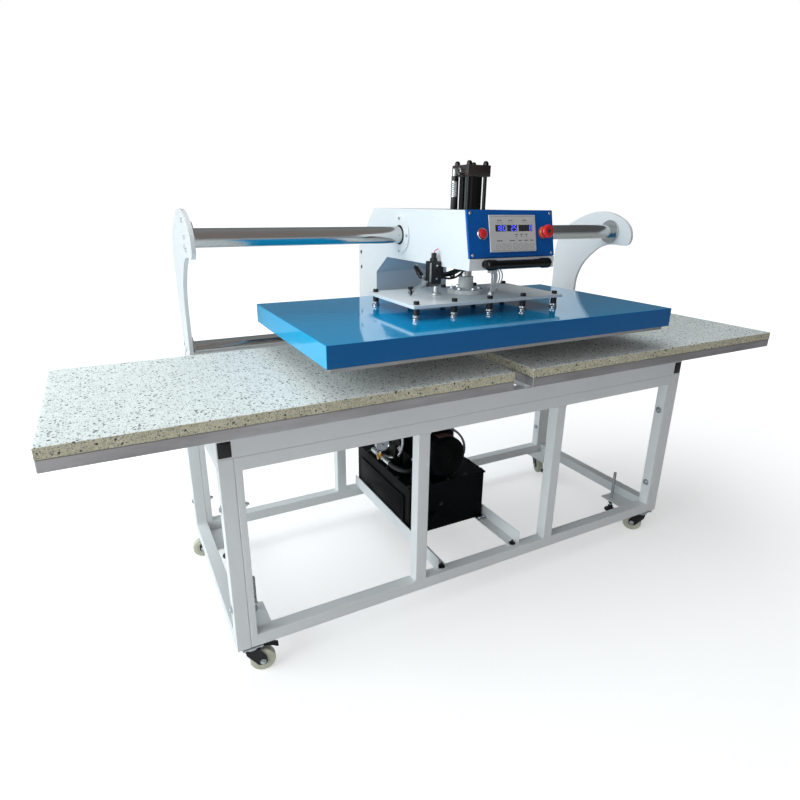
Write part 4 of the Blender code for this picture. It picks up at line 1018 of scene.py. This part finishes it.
collar_orange = finish("stop_collar", (0.62, 0.1, 0.03), (0.22, 0.34), patch=0.01, shift=0.12, grain=0.0006,
    relief=4e-6, lacquer=0.4)
piece("stop_collar", bm, collar_orange, "head", 40)

# ================================================================ handle
# A glossy black bar grip with thicker ends, on two short stems screwed into the head's base.
low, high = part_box("handle")
grip_y, grip_z = front + 0.066, 1.161
end = high.x - 0.006
bm = bmesh.new()
half = [(0, 0), (0.0085, 0), (0.012, 0.0012), (0.0142, 0.004), (0.015, 0.008), (0.015, 0.027),
    (0.014, 0.0315), (0.0126, 0.035), (0.0122, 0.04), (0.012, 0.07)]
turned(bm, half + [(r, 2 * end - h) for r, h in reversed(half)], (-end, grip_y, grip_z), (1, 0, 0), 48)
gloss_black = finish("gloss_black", (0.0025, 0.0028, 0.0035), (0.08, 0.15), patch=0.03, shift=0.2,
    grain=0.0015, relief=5e-6, lacquer=0.15, shine=0.25)
piece("handle_grip", bm, gloss_black, "head", 35, ["handle"])
bm = bmesh.new()
for x in (-0.1, 0.1):
    turned(bm, [(0, 0), (0.0098, 0), (0.0098, 0.0125), (0.012, 0.0135), (0.012, 0.0253), (0, 0.0253)],
        (x, grip_y, grip_z), (0, 1, 0), 28)
piece("handle_stems", bm, gloss_black, "head", 35)
lathe("handle_screw", [(0, 0), (0.0078, 0), (0.0078, 0.004), (0.005, 0.0052), (0, 0.0052)],
    (-0.1, grip_y, grip_z - 0.016), (0, 0, -1), 6, steel, "head")

# ================================================================ hydraulic cylinder
# A tie-rod cylinder stands on the head's base: black tube between two square blocks, four dark rods with
# cap nuts on top, and the oil supply at the top block's left side.
axis_y = front + 0.3275
block_low, block_high = 1.401, 1.434
bm = bmesh.new()
slab(bm, (-0.042, axis_y - 0.0445, block_low), (0.042, axis_y + 0.0445, block_high), 0.0018, 3)
slab(bm, (-0.042, axis_y - 0.044, 1.1768), (0.042, axis_y + 0.044, 1.2086), 0.0018, 3)
cylinder_black = finish("cylinder_black", (0.022, 0.012, 0.012), (0.14, 0.24), patch=0.05, shift=0.3,
    grain=0.0012, lacquer=0.6)
piece("cylinder_blocks", bm, cylinder_black, "head", 30, ["cylinder_head"])
lathe("cylinder_tube", [(0.019, 1.208), (0.035, 1.208), (0.035, 1.4012), (0.019, 1.4012)], (0, axis_y, 0),
    (0, 0, 1), 72, gloss_black, "head", 30, ["cylinder_barrel"], loop=True)
rods, nuts = bmesh.new(), bmesh.new()
for sx in (-1, 1):
    for sy in (-1, 1):
        at = Vector((sx * 0.0305, axis_y + sy * 0.0325, 0))
        turned(rods, [(0, 1.2085), (0.0058, 1.2085), (0.0058, 1.4012), (0, 1.4012)], at, (0, 0, 1), 24)
        cap = [(0, 1.4338), (0.0102, 1.4338), (0.0102, 1.4352), (0.0092, 1.4352), (0.0092, 1.4405)]
        turned(nuts, cap + [(0.0086, 1.4412), (0, 1.4412)], at, (0, 0, 1), 6)
        turned(nuts, [(0, 1.44), (0.0074, 1.44), (0.007, 1.4432), (0.0052, 1.4455), (0.0025, 1.4463),
            (0, 1.4465)], at, (0, 0, 1), 28)
piece("tie_rods", rods, gloss_black, "head")
piece("cap_nuts", nuts, gloss_black, "head")

# oil supply: chromed elbow, swivel nut, ribbed ferrule and a rubber hose down into the head
port_y, port_z, drop_x = front + 0.324, 1.4165, -0.0625
bm = bmesh.new()
turned(bm, [(0, 0), (0.01, 0), (0.01, 0.0055), (0.0072, 0.0065), (0.0072, 0.02), (0, 0.02)],
    (-0.0421, port_y, port_z), (-1, 0, 0), 28)
turned(bm, [(0, -0.016), (0.0078, -0.016), (0.0088, -0.004), (0.0086, 0.004), (0.006, 0.0082), (0, 0.009)],
    (drop_x, port_y, port_z), (0, 0, 1), 32)
piece("supply_elbow", bm, chrome, "head", 40, ["cylinder_hose"])
lathe("swivel_nut", [(0, 0), (0.01, 0), (0.0108, 0.001), (0.0108, 0.013), (0.01, 0.014), (0, 0.014)],
    (drop_x, port_y, port_z - 0.029), (0, 0, 1), 6, gloss_black, "head")
ferrule = [(0, 0.0), (0.0094, 0.0)]
for k in range(8):
    ferrule += [(0.0104, 0.001 + k * 0.0056), (0.0104, 0.0038 + k * 0.0056), (0.0096, 0.0046 + k * 0.0056)]
lathe("supply_ferrule", ferrule + [(0.009, 0.047), (0, 0.047)], (drop_x, port_y, port_z - 0.0755),
    (0, 0, 1), 32, steel, "head")
hose("supply_hose", bend((drop_x, port_y, port_z - 0.075), (drop_x - 0.001, port_y, 1.31),
    (drop_x - 0.001, port_y, 1.29), (drop_x + 0.003, port_y + 0.006, 1.242), 16), 0.0093, 20, rubber,
    "head", 60)

# ================================================================ ram and hub
# The chromed ram comes down through the base into a turned hub. Six bolts hold the hub's flange to the
# carrier plate.
low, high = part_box("press_ram")
lathe("chromed_ram", [(0, low.z), (0.0175, low.z), (0.018, low.z + 0.0005), (0.018, high.z), (0, high.z)],
    (0, axis_y, 0), (0, 0, 1), 56, chrome, "press", 30, ["press_ram"])
plate_top = 1.0435
hub = [(0, 0.0003), (0.0575, 0.0003), (0.058, 0.0008), (0.058, 0.0127), (0.0568, 0.0141), (0.055, 0.0145),
    (0.0285, 0.0145)]
hub += [(0.0258, 0.016), (0.0248, 0.019), (0.0245, 0.0445), (0.0235, 0.0455), (0.0235, 0.048),
    (0.0245, 0.049), (0.0245, 0.053), (0.0235, 0.0543), (0, 0.0543)]
cast_grey = finish("turned_grey", (0.74, 0.765, 0.765), (0.3, 0.42), metal=0.05, patch=0.03, shift=0.04,
    grain=0.0008)
lathe("ram_hub_turned", hub, (0, axis_y, plate_top), (0, 0, 1), 72, cast_grey, "press", 30, ["ram_hub"])
bm = bmesh.new()
for k in range(6):
    a = math.radians(30 + 60 * k)
    hex_head(bm, (0.0445 * math.cos(a), axis_y + 0.0445 * math.sin(a), plate_top + 0.0144), (0, 0, 1),
        0.013, 0.006)
piece("hub_bolts", bm, steel, "press")
lathe("ram_seal", [(0.0182, 0), (0.0275, 0), (0.0285, 0.001), (0.0285, 0.006), (0.0182, 0.006)],
    (0, axis_y, 1.1395), (0, 0, 1), 48, rubber, "head", loop=True)

# ================================================================ carrier plate and guide rods
# A white steel plate hangs from the hub and carries the platen on ten spring studs. Two chromed rods,
# screwed to the plate by their collars, slide up into the head and keep it square.
carry(powder_white, 0.0012, "carrier_plate")
satin = finish("satin_chrome", (0.72, 0.725, 0.72), (0.22, 0.34), metal=0.9, patch=0.02, shift=0.05,
    grain=0.0007, relief=4e-6)
for label in ("left", "right"):
    low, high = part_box(f"guide_rod_{label}")
    x = (low.x + high.x) / 2
    rod = [(0, 0.0003), (0.0155, 0.0003), (0.016, 0.0008), (0.016, 0.0062), (0.015, 0.0072),
        (0.0112, 0.0077), (0.0095, 0.009)]
    rod += [(0.0095, 0.2177), (0.0088, 0.2185), (0, 0.2185)]
    lathe(f"chromed_rod_{label}", rod, (x, axis_y, plate_top), (0, 0, 1), 40, satin, "press", 30,
        [f"guide_rod_{label}"])
    lathe(f"rod_bush_{label}", [(0.0097, 0), (0.015, 0), (0.0158, 0.001), (0.0158, 0.005), (0.0097, 0.005)],
        (x, axis_y, 1.1405), (0, 0, 1), 36, steel, "head", loop=True)

# ================================================================ spring studs
# Each stud has a black socket head above the plate, a rubber sleeve over its spring below, and a pair of
# chromed nuts locked on the platen.
platen_top = 0.9993
head = [(0, 0.0001), (0.0088, 0.0001), (0.009, 0.0015), (0.009, 0.0085), (0.008, 0.0095), (0.0046, 0.0095),
    (0.0046, 0.0057), (0, 0.0057)]
sleeve = [(0, 0.0127), (0.0092, 0.0127), (0.0098, 0.0137), (0.0098, 0.0327), (0.0092, 0.034), (0, 0.034)]
washer = [(0, 0.0045), (0.0108, 0.0045), (0.0108, 0.0067), (0, 0.0067)]
lower_nut = [(0, 0), (0.012, 0), (0.0124, 0.0005), (0.0124, 0.0039), (0.0114, 0.0049), (0, 0.0049)]
upper_nut = [(0, 0.0063), (0.01, 0.0063), (0.0114, 0.0071), (0.0114, 0.0119), (0.01, 0.0129), (0, 0.0129)]
heads, sleeves, nuts = bmesh.new(), bmesh.new(), bmesh.new()
for x in (-0.264, -0.132, 0.0, 0.132, 0.264):
    for y in (front + 0.191, front + 0.464):
        turned(heads, head, (x, y, plate_top), (0, 0, 1), 28)
        at = (x, y, platen_top)
        turned(sleeves, sleeve, at, (0, 0, 1), 32)
        turned(sleeves, washer, at, (0, 0, 1), 24)
        turned(nuts, lower_nut, at, (0, 0, 1), 32)
        turned(nuts, upper_nut, at, (0, 0, 1), 6)
piece("stud_heads", heads, black_enamel, "press")
piece("stud_sleeves", sleeves, rubber, "press")
piece("stud_nuts", nuts, chrome, "press")

# ================================================================ heated platen
# A cast aluminium heating plate under a folded cover in glossy blue enamel, with a board of mineral wool
# between them. The cover's skirt leaves the plate's machined edge showing below.
platen_blue = finish("platen_blue", (0.0, 0.12, 0.36), (0.06, 0.11), patch=0.2, shift=0.05, grain=0.004,
    relief=8e-6, lacquer=1.0, shine=0.08)
tree = platen_blue.node_tree
shader = tree.nodes["Principled BSDF"]
shader.inputs["Coat IOR"].default_value = 1.32
facing = wire(tree, "SeparateXYZ", {0: wire(tree, "NewGeometry").outputs["Normal"]}).outputs
# The cover's left end and top are mixed to a lighter cyan than its front: painted light from the window on
# the left and the ceiling above, added on top of what the lamps give.
painted_left_light = wire(tree, "MapRange", {0: facing["X"], 1: -0.5, 2: -0.95}).outputs[0]
painted_top_light = wire(tree, "MapRange", {0: facing["Z"], 1: 0.5, 2: 0.95}).outputs[0]
body_tone = shader.inputs["Base Color"].links[0].from_socket
both = mixed(tree, painted_left_light, body_tone, (0.0, 0.42, 0.76, 1))
both = mixed(tree, painted_top_light, both, (0.0, 0.325, 0.66, 1))
tree.links.new(both, shader.inputs["Base Color"])
carry(platen_blue, 0.003, "platen_cover", steps=3)
heat_aluminium = finish("heat_aluminium", (0.5, 0.49, 0.49), (0.32, 0.46), metal=1.0, patch=0.03, shift=0.1,
    grain=0.0009, stretch=(0.2, 1, 1))
carry(heat_aluminium, 0.001, "heating_plate")
wool = finish("mineral_wool", (0.5, 0.45, 0.34), (0.85, 0.95), patch=0.01, shift=0.2, grain=0.0006,
    relief=1e-4)
carry(wool, 0.0005, "insulation_board")
low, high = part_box("platen_cover")
lathe("heater_gland", [(0, 0), (0.0135, 0), (0.0135, 0.004), (0.011, 0.005), (0.011, 0.016), (0.006, 0.02),
    (0, 0.02)], (0.165, front + 0.56, high.z), (0, 0, 1), 24, black_plastic, "press")

# ================================================================ heater leads and switch cables
# Five leads in clear silicone sleeves fan out of the head and down to a nut on the carrier plate. A short
# bundle of dark cables runs from the limit switch into the head.
bm = bmesh.new()
for k in range(5):
    leave = (0.012 + 0.004 * k, front + 0.286 - 0.004 * k, 1.144)
    first = (0.04 + 0.011 * k, front + 0.258 - 0.002 * k, 1.142 - 0.001 * k)
    second = (0.062 + 0.014 * k, front + 0.252 - 0.002 * k, 1.115 - 0.003 * k)
    run(bm, bend(leave, first, second, (0.052 + 0.002 * k, front + 0.262, 1.05), 44), 0.0023, 10)
lead_sleeve = finish("lead_sleeve", (0.66, 0.675, 0.68), (0.16, 0.28), patch=0.02, shift=0.1, grain=0.0008)
leads = piece("heater_leads", bm, lead_sleeve, None, 180)
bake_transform(leads)
lathe("lead_nut", [(0, 0.0002), (0.0105, 0.0002), (0.0105, 0.005), (0.0085, 0.007), (0.0085, 0.0095),
    (0, 0.0095)], (0.056, front + 0.262, plate_top), (0, 0, 1), 6, steel, "press")
bm = bmesh.new()
for k in range(5):
    shift = Vector((0.003 * math.cos(2.4 * k), 0.004 * math.sin(2.4 * k), 0.0045 * math.cos(1.7 * k)))
    a, b = Vector((-0.152, front + 0.262, 1.118)) + shift * 0.5, Vector((-0.03, front + 0.262 + 0.006 * k,
        1.1436))
    run(bm, bend(a, a + Vector((0.034, -0.004, -0.012)) + shift * 2,
        b + Vector((-0.04, 0.002, -0.034)) + shift * 3, b, 22), 0.0032, 10)
turned(bm, [(0.0085, -0.004), (0.0105, -0.004), (0.0105, 0.004), (0.0085, 0.004)],
    (-0.098, front + 0.262, 1.1145), (1, 0, 0.06), 24, loop=True)
piece("switch_cables", bm, rubber, "head", 60)
bm = bmesh.new()
slab(bm, (-0.098, front + 0.372, 1.086), (-0.06, front + 0.412, 1.1438), 0.002)
turned(bm, [(0, 0), (0.01, 0), (0.01, 0.012), (0.007, 0.014), (0, 0.014)], (-0.098, front + 0.392, 1.106),
    (-1, 0, 0), 20)
piece("solenoid_box", bm, black_plastic, "head")

# ================================================================ limit switch
# A black roller-lever switch bolted to the left side plate: it stops the press at the top of its stroke.
# A red lead comes out of its top, and its zinc lever carries a small black roller.
carry(black_plastic, 0.001, "limit_switch")
low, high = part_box("limit_switch")
bm = bmesh.new()
slab(bm, (low.x - 0.0006, low.y + 0.003, 1.098), (low.x + 0.003, low.y + 0.013, 1.154), 0.0008)
for z in (1.108, 1.146):
    turned(bm, [(0, 0), (0.0032, 0), (0.0032, 0.0016), (0.002, 0.0022), (0, 0.0022)],
        (low.x + 0.017, low.y - 0.0006, z), (0, -1, 0), 16)
turned(bm, [(0, 0), (0.004, 0), (0.004, 0.01), (0.0024, 0.012), (0, 0.012)],
    (low.x + 0.028, low.y + 0.01, 1.1575), (0, 0, 1), 16)
piece("switch_plates", bm, steel, "head")
bm = bmesh.new()
slab(bm, (low.x + 0.005, low.y - 0.0008, 1.102), (high.x - 0.01, low.y + 0.002, 1.153), 0.0008)
piece("switch_lid", bm, black_plastic, "head")
bm = bmesh.new()
run(bm, bend((-0.171, low.y + 0.018, 1.18), (-0.171, low.y + 0.018, 1.188), (-0.168, low.y + 0.014, 1.191),
    (-0.16, low.y + 0.012, 1.194), 10), 0.0014, 10)
red_lead = finish("red_lead", (0.6, 0.02, 0.07), (0.35, 0.45), patch=0.01, shift=0.1, grain=0.0005,
    relief=3e-6)
piece("red_lead", bm, red_lead, "head", 60)
carry(zinc, 0.0005, "switch_lever")
low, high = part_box("switch_lever")
bm = bmesh.new()
roller = Vector((low.x, front + 0.346, 1.0535))
turned(bm, [(0, -0.0004), (0.003, -0.0004), (0.003, 0.0004), (0.008, 0.0006), (0.0084, 0.0014),
    (0.0084, 0.0074), (0.008, 0.0082), (0, 0.0082)], roller, (1, 0, 0), 36)
pivot = Vector((-0.2005, front + 0.262, 1.096))
slope_up = Vector((0, 0.052, 0.04)).normalized()
run(bm, [pivot + Vector((0.003, 0, 0)) + slope_up * d for d in (0.018, 0.022, 0.06, 0.068)],
    [0.007, 0.0088, 0.0088, 0.007], 20)
piece("lever_roller", bm, gloss_black, "switch_lever", 35, slot="black_plastic")
bm = bmesh.new()
hex_head(bm, (low.x + 0.003, front + 0.262, 1.096), (-1, 0, 0), 0.01, 0.004)
piece("lever_nut", bm, steel, "switch_lever")

# ================================================================ the box of everything shown
# The box round everything shown, leaving out the floor and the hidden CAD nodes, is worked out here.
low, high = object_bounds()
